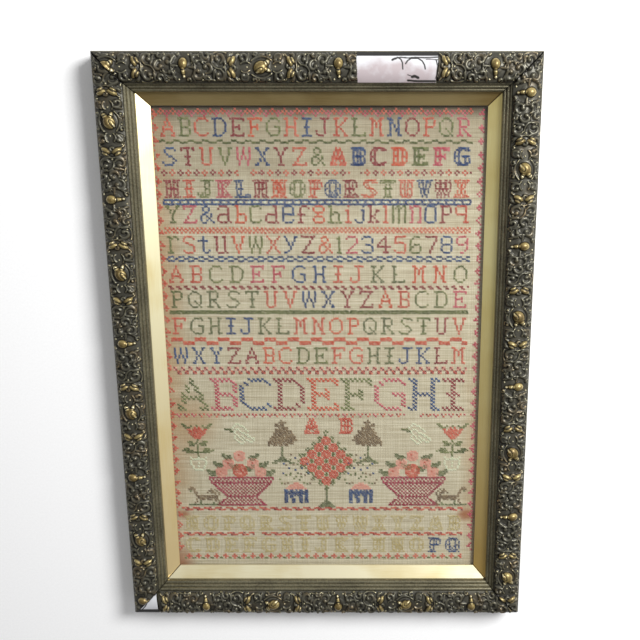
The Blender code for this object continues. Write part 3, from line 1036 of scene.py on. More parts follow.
@dataclass
class Band:
    """The rounded band of a rail, where the ornament lies: an arc from edge to edge."""

    sizes: FrameSizes
    lift: float = 0.0
    rise: float = 4.2 * MM
    tilt: float = 2.0 * MM

    def __post_init__(self) -> None:
        """Work out the arc's circle from its width and rise."""
        half = (self.sizes.band_end - self.sizes.band_start) / 2
        self.radius = (half * half + self.rise * self.rise) / (2 * self.rise)
        self.middle = self.sizes.band_middle
        self.centre_high = self.sizes.band_edge + self.rise - self.radius
        self.reach = math.asin(half / self.radius)

    def at(self, share: np.ndarray) -> tuple[np.ndarray, np.ndarray, np.ndarray]:
        """Places across the arc.

        Args:
            share: 0 at the outer edge of the frame to 1 at the inner edge.

        Returns:
            Distance across from the frame's outer edge, height, and the angle off upright.
        """
        angle = (share * 2 - 1) * self.reach
        radius = self.radius + self.lift
        high = self.centre_high + radius * np.cos(angle) + self.tilt * share
        return self.middle + radius * np.sin(angle), high, angle


@dataclass
class BandStrip:
    """A closed strip of surface along one side's band, with a mitre or a break at each end."""

    name: str
    side: Side
    sizes: FrameSizes
    material: bpy.types.Material
    low: float | None = None
    high: float | None = None
    sink: float = 0.0
    step_along: float = 0.56 * MM
    rows: int = 50
    ragged: float = 0.5 * MM
    shortest: float = 0.2 * MM
    seed: int = 1

    def ends(self, across: np.ndarray) -> tuple[np.ndarray, np.ndarray]:
        """Where each row across the band starts and ends along the side."""
        rng = np.random.default_rng(self.seed)
        half = self.sizes.length(self.side) / 2 - MITRE_GAP
        start, end = -(half - across), half - across
        wander = np.cumsum(rng.normal(0, self.ragged / 3, (2, across.size)), axis=1)
        if self.low is not None:
            start = np.maximum(start, self.low + wander[0])
        if self.high is not None:
            end = np.minimum(end, self.high + wander[1])
        return start, np.maximum(end, start + self.shortest)

    def build(self, relief: Callable) -> bpy.types.Object:
        """Make the strip.

        Args:
            relief: function of along and across (from the band's middle, positive outwards),
                in metres, that gives the height above the strip's ground in metres, how proud
                each point is of its surroundings, from 0 in a crease to 1 on a ridge, and how
                much gilding it carries.

        Returns:
            The piece, in place on its side.
        """
        ground = Band(self.sizes, -self.sink)
        share = np.linspace(0, 1, self.rows)
        across, high, angle = ground.at(share)
        start, end = self.ends(across)
        count = int(np.max(end - start) / self.step_along)
        part = np.linspace(0, 1, count)
        along = start[None, :] + (end - start)[None, :] * part[:, None]
        wide = np.broadcast_to(across, along.shape)
        rise, proud, gilt = relief(along, ground.middle - wide)
        top = np.stack([along, -(wide + rise * np.sin(angle)), high + rise * np.cos(angle)], axis=-1)
        floor = Band(self.sizes, -self.sink - UNDER_DEPTH)
        low_across, low_high, _ = floor.at(share[::UNDER_STEP])
        under_along = along[:, ::UNDER_STEP]
        under = np.stack([under_along, -np.broadcast_to(low_across, under_along.shape),
                          np.broadcast_to(low_high, under_along.shape)], axis=-1)
        points = np.concatenate([top.reshape(-1, 3), under.reshape(-1, 3)])
        faces = self.faces(count, self.rows, len(low_across))
        place = np.array(self.sizes.place(self.side))
        points = points @ place[:3, :3].T + place[:3, 3]
        piece = mesh_piece(self.name, points, faces, self.material)
        for name, values in (("relief", proud), ("gilt", gilt)):
            flat = np.zeros(len(points))
            flat[:values.size] = values.ravel()
            add_values(piece, name, "FLOAT", flat)
        return piece

    @staticmethod
    def faces(count: int, rows: int, under_rows: int) -> list:
        """Faces of the closed strip: its top, its underside, two long sides and two ends."""
        base = count * rows
        quads = []
        for i in range(count - 1):
            for j in range(rows - 1):
                a = i * rows + j
                quads.append((a, a + 1, a + rows + 1, a + rows))
            for j in range(under_rows - 1):
                a = base + i * under_rows + j
                quads.append((a, a + under_rows, a + under_rows + 1, a + 1))
            top, low = i * rows, base + i * under_rows
            quads.append((top, top + rows, low + under_rows, low))
            top, low = top + rows - 1, low + under_rows - 1
            quads.append((top + rows, top, low, low + under_rows))
        first_top = list(range(rows))
        first_low = list(range(base, base + under_rows))
        last_top = [(count - 1) * rows + j for j in range(rows)]
        last_low = [base + (count - 1) * under_rows + j for j in range(under_rows)]
        quads.append(tuple(first_low + first_top[::-1]))
        quads.append(tuple(last_top + last_low[::-1]))
        return quads


@dataclass
class Ornament:
    """The composition foliage on all four sides, with its gilt bosses and its small beads."""

    sizes: FrameSizes
    pattern: ScrollPattern = field(default_factory=ScrollPattern)

    # Where a group of bosses has its middle on each side, along the side from its middle.
    GROUPS = {Side.TOP: -49.0, Side.RIGHT: -38.8, Side.BOTTOM: 55.0, Side.LEFT: 81.3}
    # Where ornament is lost: from and to along the top, and from there on along the bottom.
    LOST_LOW = 34.0
    LOST_HIGH = 106.0
    CORNER_LOSS = 173.0
    # Each strip's name, side, where it starts and ends along its side, and its seed.
    STRIPS = (
        ("top_left", Side.TOP, None, LOST_LOW, 11),
        ("top_right", Side.TOP, LOST_HIGH, None, 12),
        ("right", Side.RIGHT, None, None, 13),
        ("bottom", Side.BOTTOM, None, CORNER_LOSS, 14),
        ("left", Side.LEFT, None, None, 15),
    )
    # Over what width the relief dies out at the band's edges.
    EDGE_FADE = 2.6
    EDGE_FLAT = 0.4
    # How far the pressing wanders along and across, over what lengths, and how much it is worn.
    WANDER = ((0.5, 17), (0.35, 23))
    WORN, WORN_OVER = 0.12, 31
    # How proud level ground counts, and how much a crease or ridge changes that; the finish paints shade into
    # creases and highlight onto ridges from it.
    LEVEL, PER_MM = 0.40, 0.56
    # The beads: repeats laid out each way, room at the mitres and beside the lost place on the
    # top, how deep they sit, and how tall they are for their width.
    REPEATS = 4
    BEAD_ROOM = 1.5
    LOST_ROOM = (4, 2.5)
    BEAD_SINK = 0.4
    BEAD_TALL = 1.15
    # How proud and how gilt the beads count, which gives them the paler colour of the tops, part rubbed wear
    # and part painted highlight.
    BEAD_TONES = (("relief", 0.75), ("gilt", 0.25))

    def build(self, dark: bpy.types.Material) -> None:
        """Make every strip, then the beads that stand on them."""
        for label, side, low, high, seed in self.STRIPS:
            low, high = (None if end is None else end * MM for end in (low, high))
            strip = BandStrip(f"foliage_{label}", side, self.sizes, dark, low, high, seed=seed)
            piece = strip.build(lambda along, across, side=side, seed=seed:
                                self.relief(side, along, across, seed))
            hand_over(piece, f"ornament_{label}")
        self.add_beads(dark)

    def relief(self, side: Side, along: np.ndarray, across: np.ndarray, seed: int,
               ) -> tuple[np.ndarray, np.ndarray, np.ndarray]:
        """Height, proudness and gilding of the foliage, with small unevenness from the pressing."""
        rng = np.random.default_rng(seed)
        phase = rng.uniform(0, math.tau, 3)
        s = along / MM
        v = across / MM
        bend_s, bend_v = (far * np.sin(s / over + start)
                          for (far, over), start in zip(self.WANDER, phase))
        s_bent, v_bent = s - self.GROUPS[side] + bend_s, v + bend_v
        pattern = self.pattern
        height, crease, gilt = (pattern.sample(values, s_bent, v_bent)
                                for values in (pattern.height, pattern.crease, pattern.gilt))
        worn = 1.0 - self.WORN * (1 + np.sin(s / self.WORN_OVER + phase[2])) / 2
        edge = np.clip((pattern.half_band - self.EDGE_FLAT - np.abs(v)) / self.EDGE_FADE, 0, 1)
        return height * worn * edge * MM, np.clip(self.LEVEL + crease * self.PER_MM, 0, 1), gilt

    def stands(self, side: Side, along: float, across: float) -> bool:
        """Whether a bead is there, clear of the mitres and of the lost places."""
        middle = self.sizes.band_middle / MM
        if abs(along) > self.sizes.length(side) / MM / 2 - (middle - across) - self.BEAD_ROOM:
            return False
        low, high = self.LOST_LOW - self.LOST_ROOM[0], self.LOST_HIGH + self.LOST_ROOM[1]
        if side is Side.TOP and low < along < high:
            return False
        return not (side is Side.BOTTOM and along > self.CORNER_LOSS - self.BEAD_ROOM)

    def set_on_band(self, side: Side, along: float, across: float, lift: float) -> tuple[Vector, Matrix]:
        """World place of a point over the band, and the turn that stands it on the band there."""
        band = Band(self.sizes, lift)
        share = 0.5 - across * MM / (self.sizes.band_end - self.sizes.band_start)
        wide, high, angle = band.at(np.array([share]))
        place = self.sizes.place(side)
        spot = place @ Vector((along * MM, -wide[0], high[0]))
        lean = Matrix.Rotation(float(angle[0]), 4, "X")
        return spot, place.to_3x3().to_4x4() @ lean

    def add_beads(self, dark: bpy.types.Material) -> None:
        """The small beads among the scrolls."""
        points, sizes, turns = [], [], []
        for side in Side:
            for number in range(-self.REPEATS, self.REPEATS + 1):
                for off_s, across, radius in self.pattern.beads():
                    along = self.GROUPS[side] + number * self.pattern.pitch + off_s
                    if not self.stands(side, along, across):
                        continue
                    spot, stand = self.set_on_band(side, along, across, -self.BEAD_SINK * MM)
                    points.append(spot)
                    sizes.append([radius * MM, radius * MM, radius * self.BEAD_TALL * MM])
                    turns.append(stand.to_euler())
        piece = CastBeads().run("ornament_beads", np.array(points),
                                {"size": np.array(sizes), "turn": np.array(turns)},
                                {"Segments": 8, "Rings": 6, "Material": dark})
        for name, level in self.BEAD_TONES:
            add_values(piece, name, "FLOAT", np.full(len(piece.data.vertices), level))
        hand_over(piece)


@dataclass
class GessoLoss:
    """White gesso where a piece of the ornament has come away, with what is left on it."""

    name: str
    side: Side
    sizes: FrameSizes
    low: float
    high: float | None
    seed: int

    # How much darker it grows towards the inner edge, and over what width in mm that fades.
    SOIL: float = 0.0
    INNER_DARKENING_REACH: float = 18.0
    # The brush's waves along and across, and their height, in mm.
    WAVES: tuple = (6.0, 3.4)
    WAVE_RISE: float = 0.06
    # Marks of dark paint left on the gesso: half width, then points along and across, in mm.
    MARKS: tuple = ()
    MARK_POINTS: int = 400
    MARK_FADE: float = 0.3

    def build(self, chalk: bpy.types.Material) -> None:
        """Make the patch and paint its marks."""
        strip = BandStrip(self.name, self.side, self.sizes, chalk, self.low * MM,
                          None if self.high is None else self.high * MM, sink=0.22 * MM,
                          step_along=0.40 * MM, rows=57, seed=self.seed)
        piece = strip.build(self.relief)
        self.paint(piece)
        hand_over(piece)

    def relief(self, along: np.ndarray, across: np.ndarray,
               ) -> tuple[np.ndarray, np.ndarray, np.ndarray]:
        """Slight waves left by the brush that laid the gesso."""
        wave = np.sin(along / MM / self.WAVES[0]) * np.sin(across / MM / self.WAVES[1])
        rise = (self.WAVE_RISE * wave + self.WAVE_RISE) * MM
        return rise, np.full(along.shape, 0.5), np.zeros(along.shape)

    def paint(self, piece: bpy.types.Object) -> None:
        """Store how dark each point is, from its distance to the marks, and how much darker it is towards the
        inner edge.
        """
        count = len(piece.data.vertices)
        points = np.zeros(count * 3, dtype=np.float32)
        piece.data.vertices.foreach_get("co", points)
        back = np.array(self.sizes.place(self.side).inverted())
        local = points.reshape(-1, 3) @ back[:3, :3].T + back[:3, 3]
        s = local[:, 0] / MM
        v = (self.sizes.band_middle + local[:, 1]) / MM
        dark = np.zeros(count)
        for width, path in self.MARKS:
            stops = np.array(path)
            share = np.linspace(0, len(path) - 1, self.MARK_POINTS)
            line_s = np.interp(share, range(len(path)), stops[:, 0])
            line_v = np.interp(share, range(len(path)), stops[:, 1])
            away = np.hypot(s[:, None] - line_s[None, :], v[:, None] - line_v[None, :]).min(axis=1)
            dark = np.maximum(dark, np.clip((width - away) / self.MARK_FADE + 0.5, 0, 1))
        add_values(piece, "paint", "FLOAT", dark)
        add_values(piece, "soil", "FLOAT", np.clip(0.5 - v / self.INNER_DARKENING_REACH, 0, 1) * self.SOIL)


@dataclass
class TopLoss(GessoLoss):
    """The long bare place on the top rail."""

    SOIL: float = 1.0
    MARKS: tuple = (
        (3.2, ((33.0, 12.6), (107.0, 12.6))),
        (0.95, ((66.0, 6.0), (67.4, 6.8), (69.4, 7.4))),
        (0.60, ((69.0, 7.6), (73.6, 8.2), (80.0, 7.6), (86.0, 8.2), (94.0, 7.8), (106.0, 8.4))),
        (0.60, ((70.4, 8.2), (73.4, 6.6), (74.8, 3.6), (75.2, -1.8))),
        (0.65, ((77.6, 2.8), (79.4, 5.4), (82.6, 7.4), (88.4, 7.4), (92.2, 5.0), (94.2, 1.6),
                (94.8, -1.6))),
        (0.42, ((95.6, 6.4), (99.0, 6.6), (106.0, 6.0))),
        (1.15, ((83.4, -8.2), (86.2, -7.8), (88.8, -9.0))),
        (0.40, ((79.6, -6.6), (83.0, -7.6), (85.4, -6.8))),
        (0.85, ((79.8, -11.2), (88.0, -11.8), (104.0, -11.8))),
        (0.60, ((104.4, 6.0), (105.6, 1.0), (105.0, -6.0), (104.6, -10.0))),
    )


@dataclass
class CornerLoss(GessoLoss):
    """The small bare place at the bottom left corner, cracked along the mitre."""

    MARKS: tuple = (
        (3.2, ((170.0, 10.6), (196.0, 10.6))),
        (0.55, ((184.6, -1.2), (186.6, 2.8), (191.0, 8.0))),
        (0.60, ((172.6, -12.4), (176.0, -12.6))),
    )


# ---------------------------------------------------------------- the charts of the sampler


class Alphabet:
    """Letters and figures charted nine rows high, seven columns to a letter."""

    LETTERS = {
        "A": "...#... ...#... ..#.#.. ..#.#.. .#...#. .#####. .#...#. #.....# ##...##",
        "B": "#####.. .#...#. .#...#. .#...#. .####.. .#...#. .#...#. .#...#. #####..",
        "C": "..####. .#....# #...... #...... #...... #...... #...... .#....# ..####.",
        "D": "#####.. .#...#. .#....# .#....# .#....# .#....# .#....# .#...#. #####..",
        "E": "####### .#....# .#..... .#..#.. .####.. .#..#.. .#..... .#....# #######",
        "F": "####### .#....# .#..... .#..#.. .####.. .#..#.. .#..... .#..... ###....",
        "G": "..####. .#....# #...... #...... #...### #.....# #.....# .#....# ..####.",
        "H": "##...## .#...#. .#...#. .#...#. .#####. .#...#. .#...#. .#...#. ##...##",
        "I": "#####.. ..#.... ..#.... ..#.... .###... ..#.... ..#.... ..#.... #####..",
        "J": "..##### ....#.. ....#.. ....#.. ....#.. ....#.. #...#.. #...#.. .###...",
        "K": "###..## .#...#. .#..#.. .#.#... .##.... .#.#... .#..#.. .#...#. ###..##",
        "L": "###.... .#..... .#..... .#..... .##.... .#..... .#..... .#....# #######",
        "M": "##...## .##.##. .#.#.#. .#.#.#. .#.#.#. .#...#. .#...#. .#...#. ##...##",
        "N": "##...## .##..#. .##..#. .#.#.#. .#.#.#. .#..##. .#..##. .#...#. ##...##",
        "O": "..###.. .#...#. #.....# #.....# #.....# #.....# #.....# .#...#. ..###..",
        "P": "#####.. .#...#. .#...#. .#...#. .####.. .#..... .#..... .#..... ###....",
        "Q": "..###.. .#...#. #.....# #.....# #.....# #..#..# #...#.# .#...#. ..###.#",
        "R": "#####.. .#...#. .#...#. .#...#. .####.. .#.#... .#..#.. .#...#. ###..##",
        "S": "..####. .#....# .#..... ..#.... ...##.. .....#. ......# #....#. .####..",
        "T": "####### #..#..# ...#... ...#... ..###.. ...#... ...#... ...#... ..###..",
        "U": "##...## .#...#. .#...#. .#...#. .#...#. .#...#. .#...#. .#...#. ..###..",
        "V": "##...## .#...#. .#...#. .#...#. ..#.#.. ..#.#.. ..#.#.. ...#... ...#...",
        "W": "#..#..# #..#..# #..#..# #..#..# #.#.#.# #.#.#.# .#...#. .#...#. .#...#.",
        "X": "##...## .#...#. ..#.#.. ..#.#.. ...#... ..#.#.. ..#.#.. .#...#. ##...##",
        "Y": "##...## .#...#. ..#.#.. ..#.#.. ...#... ...#... ...#... ...#... ..###..",
        "Z": "####### #....#. ....#.. ....#.. ...#... ..#.... ..#.... .#....# #######",
        "&": "..##... .#..#.. .#..#.. ..##... .##..#. #..#.#. #...#.. #..#.#. .##...#",
        "a": ".####.. #....#. .....#. .....#. .#####. #....#. #....#. #....#. .####.#",
        "b": "##..... .#..... .#..... .#..... .####.. .#...#. .#...#. .#...#. #####..",
        "c": ".####.. #....#. #...... #...... #...... #...... #...... #....#. .####..",
        "d": "....##. .....#. .....#. .....#. .#####. #....#. #....#. #....#. .####.#",
        "e": ".####.. #....#. #....#. #....#. ######. #...... #...... #....#. .####..",
        "f": "..###.. .#...#. .#..... .#..... ####... .#..... .#..... .#..... ###....",
        "g": ".####.. #....#. #....#. .####.. ..#.... .####.. #....#. #....#. .####..",
        "h": "##..... .#..... .#..... .#.##.. .##..#. .#...#. .#...#. .#...#. ###.###",
        "i": ".#..... ....... ##..... .#..... .#..... .#..... .#..... .#..... ###....",
        "j": "....#.. ....... ...##.. ....#.. ....#.. ....#.. ....#.. #...#.. .###...",
        "k": "##..... .#..... .#..##. .#..#.. .#.#... .##.... .#.#... .#..#.. ###.##.",
        "l": "##..... .#..... .#..... .#..... .#..... .#..... .#..... .#..... ###....",
        "m": "#.##.## ##.##.# #..#..# #..#..# #..#..# #..#..# #..#..# #..#..# #..#..#",
        "n": "#.###.. ##...#. .#...#. .#...#. .#...#. .#...#. .#...#. .#...#. ##..##.",
        "o": ".####.. #....#. #....#. #....#. #....#. #....#. #....#. #....#. .####..",
        "p": "#####.. .#...#. .#...#. .#...#. .####.. .#..... .#..... .#..... ###....",
        "q": ".#####. #....#. #....#. #....#. .#####. .....#. .....#. .....#. ....###",
        "r": "##.##.. .##..#. .#..... .#..... .#..... .#..... .#..... .#..... ###....",
        "s": ".####.. #....#. #...... .##.... ...##.. .....#. .....#. #....#. .####..",
        "t": "..#.... ..#.... #####.. ..#.... ..#.... ..#.... ..#.... ..#..#. ...##..",
        "u": "##..##. .#...#. .#...#. .#...#. .#...#. .#...#. .#...#. .#...#. ..###.#",
        "v": "##...## .#...#. .#...#. .#...#. ..#.#.. ..#.#.. ..#.#.. ...#... ...#...",
        "w": "#..#..# #..#..# #..#..# #..#..# #.#.#.# #.#.#.# .#...#. .#...#. .#...#.",
        "x": "#.....# .#...#. ..#.#.. ..#.#.. ...#... ..#.#.. ..#.#.. .#...#. #.....#",
        "y": "#....## .#...#. .#...#. ..#.#.. ..#.#.. ...#... ...#... ..#.... ##.....",
        "z": "####### .....#. ....#.. ....#.. ...#... ..#.... ..#.... .#..... #######",
        "1": "..#.... .##.... ..#.... ..#.... ..#.... ..#.... ..#.... ..#.... .###...",
        "2": ".####.. #....#. .....#. .....#. ....#.. ...#... ..#.... .#..... ######.",
        "3": ".####.. #....#. .....#. .....#. ..###.. .....#. .....#. #....#. .####..",
        "4": "....#.. ...##.. ..#.#.. .#..#.. #...#.. ####### ....#.. ....#.. ...###.",
        "5": "######. #...... #...... #####.. .....#. .....#. .....#. #....#. .####..",
        "6": "..###.. .#..... #...... #...... #.###.. ##...#. #....#. #....#. .####..",
        "7": "######. .....#. .....#. ....#.. ....#.. ...#... ...#... ..#.... ..#....",
        "8": ".####.. #....#. #....#. #....#. .####.. #....#. #....#. #....#. .####..",
        "9": ".####.. #....#. #....#. #...##. .###.#. .....#. .....#. ....#.. ..##...",
    }

    @classmethod
    def cells(cls, letter: str) -> np.ndarray:
        """The stitches of a letter as an array of rows, without empty columns at its sides."""
        rows = np.array([[mark == "#" for mark in row] for row in cls.LETTERS[letter].split()])
        filled = np.flatnonzero(rows.any(axis=0))
        return rows[:, filled[0]:filled[-1] + 1]


class Style(Enum):
    """How a letter's charted cells are worked."""

    SINGLE = 1
    DOUBLE = 2
    LARGE = 3


@dataclass
class SamplerChart:
    """Every stitch of the sampler, as its thread and its place counted in stitches.

    Columns count from the sheet's middle, rows from the top edge of the sight.
    """

    first: float = -77.0
    last: float = 74.0
    seed: int = 3
    stitches: dict = field(default_factory=dict)

    # Steps and sizes of the wider styles, in stitches.
    LARGE_STEP, LARGE_FALL, LARGE_PAIR = 2.35, 1.98, 1.2
    DOUBLE_STEP = 0.86
    STITCH_SIZES = {Style.SINGLE: 1.0, Style.DOUBLE: 0.8, Style.LARGE: 1.26}
    KNOT_OFF, KNOT_SIZE = 0.1, 0.75
    # The side borders: thread, column and direction, rows from and to, their step, the motif's
    # stitches, and how many of them are left.
    BORDERS = (("r", -81.0, 1), ("p", 79.5, -1))
    BORDER_ROWS, BORDER_STEP = (4.0, 238), 6.4
    DIAMOND = ((0, 0), (1, 1), (1, 0), (1, -1), (2, 0), (0, 2), (0, -2))
    DIAMOND_STEP, DIAMOND_LEFT = 0.95, 0.88

    # Letter rows: letters, threads (a capital means worked double), top row, style.
    LETTER_ROWS = (
        ("ABCDEFGHIJKLMNOPQR", "rgrbdogrbdrgrbdrgp", 6.0, Style.SINGLE),
        ("STUVWXYZ&ABCDEFG", "bdrgpbdrgRBDOGPB", 20.0, Style.SINGLE),
        ("HIJKLMNOPQRSTUVWX", "drgpbdogrbdogrbdo", 35.6, Style.DOUBLE),
        ("YZ&abcdefghijklmnopq", "gpbdogdbdogrbdrgpbdr", 48.2, Style.SINGLE),
        ("rstuvwxyz&123456789", "grbdogrbdogpbdrgdbp", 63.4, Style.SINGLE),
        ("ABCDEFGHIJKLMNO", "rrggppbbrrssoog", 78.4, Style.SINGLE),
        ("PQRSTUVWXYZABCDE", "gssssrrbbddorggp", 91.4, Style.SINGLE),
        ("FGHIJKLMNOPQRSTUV", "rssbbssrroossggdr", 105.4, Style.SINGLE),
        ("WXYZABCDEFGHIJKLM", "bbbddooggrrssbbdr", 121.2, Style.SINGLE),
        ("ABCDEFGHI", "gpbdogpbd", 138.0, Style.LARGE),
        ("NOPQRSTUVWXYZAB", "yyyyyyyyyyyyyyy", 216.4, Style.DOUBLE),
        ("CDEFGHIJKLMNOPQ", "yyyyyyyyyyyyybb", 229.6, Style.DOUBLE),
    )
    # Bands: first row, the repeat's rows of thread letters, and stretches left out.
    BANDS = (
        (1.6, (".r....", "r.r.p.", ".r.p.p", "....p."), ()),
        (16.4, ("mmm....", "...mmmm"), ()),
        (30.8, (".d...r..", "d.d.r.r.", ".d...r.."), ((-40, -36), (15, 19))),
        (45.2, ("bbbb", "b.w.", "bbbb"), ()),
        (59.2, ("o.o.", ".o.o", "o.o."), ()),
        (73.6, (".bbb.", "b.w.b", ".bbb."), ()),
        (88.8, ("dd..", ".dd."), ()),
        (101.6, ("mmmm", "mgmg"), ()),
        (116.0, ("oooooo......", "rrrrrr......", "......oooooo", "......rrrrrr"), ()),
        (131.8, ("dk..", "kd..", "..rd", "..dr"), ()),
        (157.6, ("p.r.d.r.", ".p...r.."), ((43, 50),)),
        (211.4, ("rrrd..", "..drrr"), ()),
        (226.4, ("rrrd..", "..drrr"), ((-39, -36),)),
        (239.4, ("..r..", ".rrr.", "g.r.g"), ()),
    )
    FLOWER = (
        "gg.............gg", ".gg..g..g..g..gg.", "..ggg..r.r..ggg..", "...rr.rrrrr.rr...",
        "....rrrrrrrrr....", "....rrrrrrrrr....", ".....rrrrrrr.....", "......rrrrr......",
        ".......rrr.......", "........g........", "...ggg..g..ggg...", "....gggg.gggg....",
        "....ggg.g.ggg....", "........g........", ".mmm....g...ggg..", "mmmmmm..g..gggggg",
        "..mmmmmmggggggg..", "........g........", "........m........", "....w...w...w....",
        ".....wwwwwww.....", "....w.......w....", "....w...w...w....", "....w.......w....",
        ".....w..w..w.....", ".....w.....w.....", "......wwwww......",
    )
    TREE = (
        ".......n........", "......nnnn......", "....nn.nn.......", "....nnnnn.......",
        "......nnnnn.....", "....nnnnnnn.....", "....nnnnnnnnn...", "...nnnnnnnnnn...",
        "...nnnnnnnnnnn..", "..nnnnnnnnnnnnn.", ".nnnnnnnnnnnnnn.", ".nnnnnnnnnnnnnnn",
        "nnnnnnnnnnnnnn..", "nnnnnnnnnnnnnn..", "n..nn.nn.nn.....", ".......s........",
        ".......s........", ".......s........", ".......s........", ".......s........",
        ".......s........", "......sss.......", ".....sssss......", "...sssssssss....",
        "..sss......sss..",
    )
    STAND = (
        ".....kkk.....", "...kkkkkkk...", "..kkkkkkkkk..", ".kkkkkkkkkkk.",
        "bb.bb.b.bb.bb", "bbbbbbbbbbbbb", "bbbbbbbbbbbbb", "bb.bbb.bbb.bb",
        "bb.bb...bb.bb", "bb..bb..bb.bb", "bb..bb..bb.bb", "bb..bb..bb.bb",
    )
    DOG = (
        ".nn..............", "nnnn........n.n..", ".s.n.......nnn.n.", "...nn.....n.nnn.n",
        "....n.........n.n", "....nnnnnnnnnnnn.", ".....nnnnnnnnnnn.", "....n.nnn.nnn.nn.",
        "....n.s.......n.n", "...n..s......s..n", "sssssssssssssssss",
    )
    BIRD = (
        "......ww........", ".....w..ww......", "....w.....w.....", "mmmm..ww...w....",
        "...mmw..w...w...", ".....w...ww.....", "......w....ww...", ".....w.w.w..ww..",
        ".....w..w.w...ww", "......w..w.ww..w", ".......w..w..ww.", "........ww......",
    )
    ROSE = (".kkkk.", "kkkkkk", "kkrkkk", "kkkkkk", "kkkkkk", ".kkkk.")
    BIG_ROSE = (
        "..rrrr..", ".rrrrrr.", "rrrrrrrr", "rrkrrkrr", "rrrrrrrr", "rrrkkrrr", ".rrrrrr.", "..rrrr..",
    )
    LEAF = ("ss....", "sssmm.", ".sssss", "..mss.")
    BUD = (".rrr.", "rrrrr", "rrkrr", "rrrrr", ".rrr.")

    # Motifs in pairs, the second one mirrored: the chart, its row and both columns.
    PAIRS = ((FLOWER, 163, -76, 60), (TREE, 161, -30, 15))
    DOGS = (DOG, 199.4, -74, 60)
    # The column and row of each of the rest.
    ROSE_DIAMOND = (0.5, 172.5)
    BASKETS = ((-45.5, 193.6), (47.3, 193.6))
    STANDS = ((-16.0, 197.0), (19.0, 197.0))
    BIRDS = ((-53, 163), (41, 163))
    # The two plain letters over the rose diamond: their columns, row and thread.
    OVER_DIAMOND = (("A", -10.5), ("B", 8.0))
    OVER_ROW, OVER_THREAD = 160, "r"

    def put(self, thread: str, column: float, row: float, scale: float = 1.0) -> None:
        """Add one stitch, scaled up where it is worked over more threads."""
        self.stitches.setdefault(thread, []).append((column, row, scale))

    def chart(self, rows: tuple, column: float, row: float, mirror: bool = False) -> None:
        """Add a charted motif with its top left stitch at the column and row."""
        for down, line in enumerate(rows):
            for across, thread in enumerate(line[::-1] if mirror else line):
                if thread != ".":
                    self.put(thread, column + across, row + down)

    def pair(self, motif: tuple, row: float, left: float, right: float) -> None:
        """Add a charted motif at the left, and its mirror image at the right."""
        self.chart(motif, left, row)
        self.chart(motif, right, row, mirror=True)

    def letter_cells(self, letter: str, style: Style) -> list[tuple[float, float]]:
        """A letter's stitches in the given style, from its top left."""
        cells = Alphabet.cells(letter)
        found = [(float(column), float(row)) for row, column in zip(*np.nonzero(cells))]
        if style is Style.LARGE:
            return [(column * self.LARGE_STEP + pair * self.LARGE_PAIR, row * self.LARGE_FALL + pair)
                    for column, row in found for pair in (0, 1)]
        if style is Style.DOUBLE:
            narrow = [(column * self.DOUBLE_STEP, row) for column, row in found]
            rungs = [(column + 1.0, row) for column, row in narrow if int(row) % 3 == 1]
            found = narrow + [(column + 2.0, row) for column, row in narrow] + rungs
        return sorted(set(found))

    def letter_row(self, letters: str, threads: str, top: float, style: Style) -> None:
        """One row of letters, spread evenly from the first column to the last."""
        styles = [Style.DOUBLE if style is Style.SINGLE and thread.isupper() else style
                  for thread in threads]
        worked = [self.letter_cells(letter, way) for letter, way in zip(letters, styles)]
        widths = [max(column for column, _ in cells) + 1 for cells in worked]
        gap = (self.last - self.first - sum(widths)) / (len(letters) - 1)
        column = self.first
        for thread, cells, width in zip(threads.lower(), worked, widths):
            for across, down in cells:
                self.put(thread, column + across, top + down, self.STITCH_SIZES[style])
                if style is Style.LARGE:
                    self.put(thread, column + across + self.KNOT_OFF, top + down + self.KNOT_OFF,
                             self.KNOT_SIZE)
            column += width + gap

    def band(self, top: float, repeat: tuple, left_out: tuple) -> None:
        """A line of small pattern across the sheet."""
        period = len(repeat[0])
        for number in range(int(self.last - self.first) + 2):
            column = self.first - 1 + number
            if any(low <= column <= high for low, high in left_out):
                continue
            for down, line in enumerate(repeat):
                if line[number % period] != ".":
                    self.put(line[number % period], column, top + down)

    def side_borders(self) -> None:
        """Small worn diamonds down both sides, with some of their stitches gone."""
        rng = np.random.default_rng(self.seed)
        for thread, column, way in self.BORDERS:
            row, last = self.BORDER_ROWS
            while row < last:
                for across, down in self.DIAMOND:
                    if rng.random() < self.DIAMOND_LEFT:
                        self.put(thread, column + across * way * self.DIAMOND_STEP, row + down)
                row += self.BORDER_STEP

    def rose_diamond(self, column: float, row: float) -> None:
        """Roses set in a diamond of sixteen, with leaves between and round them, on a stem."""
        step, inner, beside, above = 3.85, 0.84, 3.4, 3.1
        for i in range(4):
            for j in range(4):
                across, down = column + (i - j) * step, row + (i + j) * step
                self.chart(self.BUD, across - 2, down - 2)
        for i in range(-1, 5):
            for j in range(-1, 5):
                across, down = column + (i - j) * step, row + (i + j) * step
                if 0 <= i < 4 and 0 <= j < 4:
                    for way in (-1, 1):
                        self.put("g", across + way * beside, down)
                        self.put("g", across, down + way * above)
                elif (min(i, j) == -1) != (max(i, j) == 4):
                    near = column + (i - j) * step * inner
                    low = row + 3 * step + (i + j - 3) * step * inner
                    for off, fall, thread in ((-0.8, 0, "m"), (0.8, -0.4, "m"), (0, -0.9, "s"),
                                              (0, 0.8, "s")):
                        self.put(thread, near + off, low + fall)
        lowest, below, stem = row + 6 * step, 3, 12
        for down in range(stem):
            self.put("s", column, lowest + below + down)
        for down, half in enumerate((1, 2, 3, 4)):
            for across in range(-half, half + 1):
                self.put("s", column + across, lowest + stem + down)

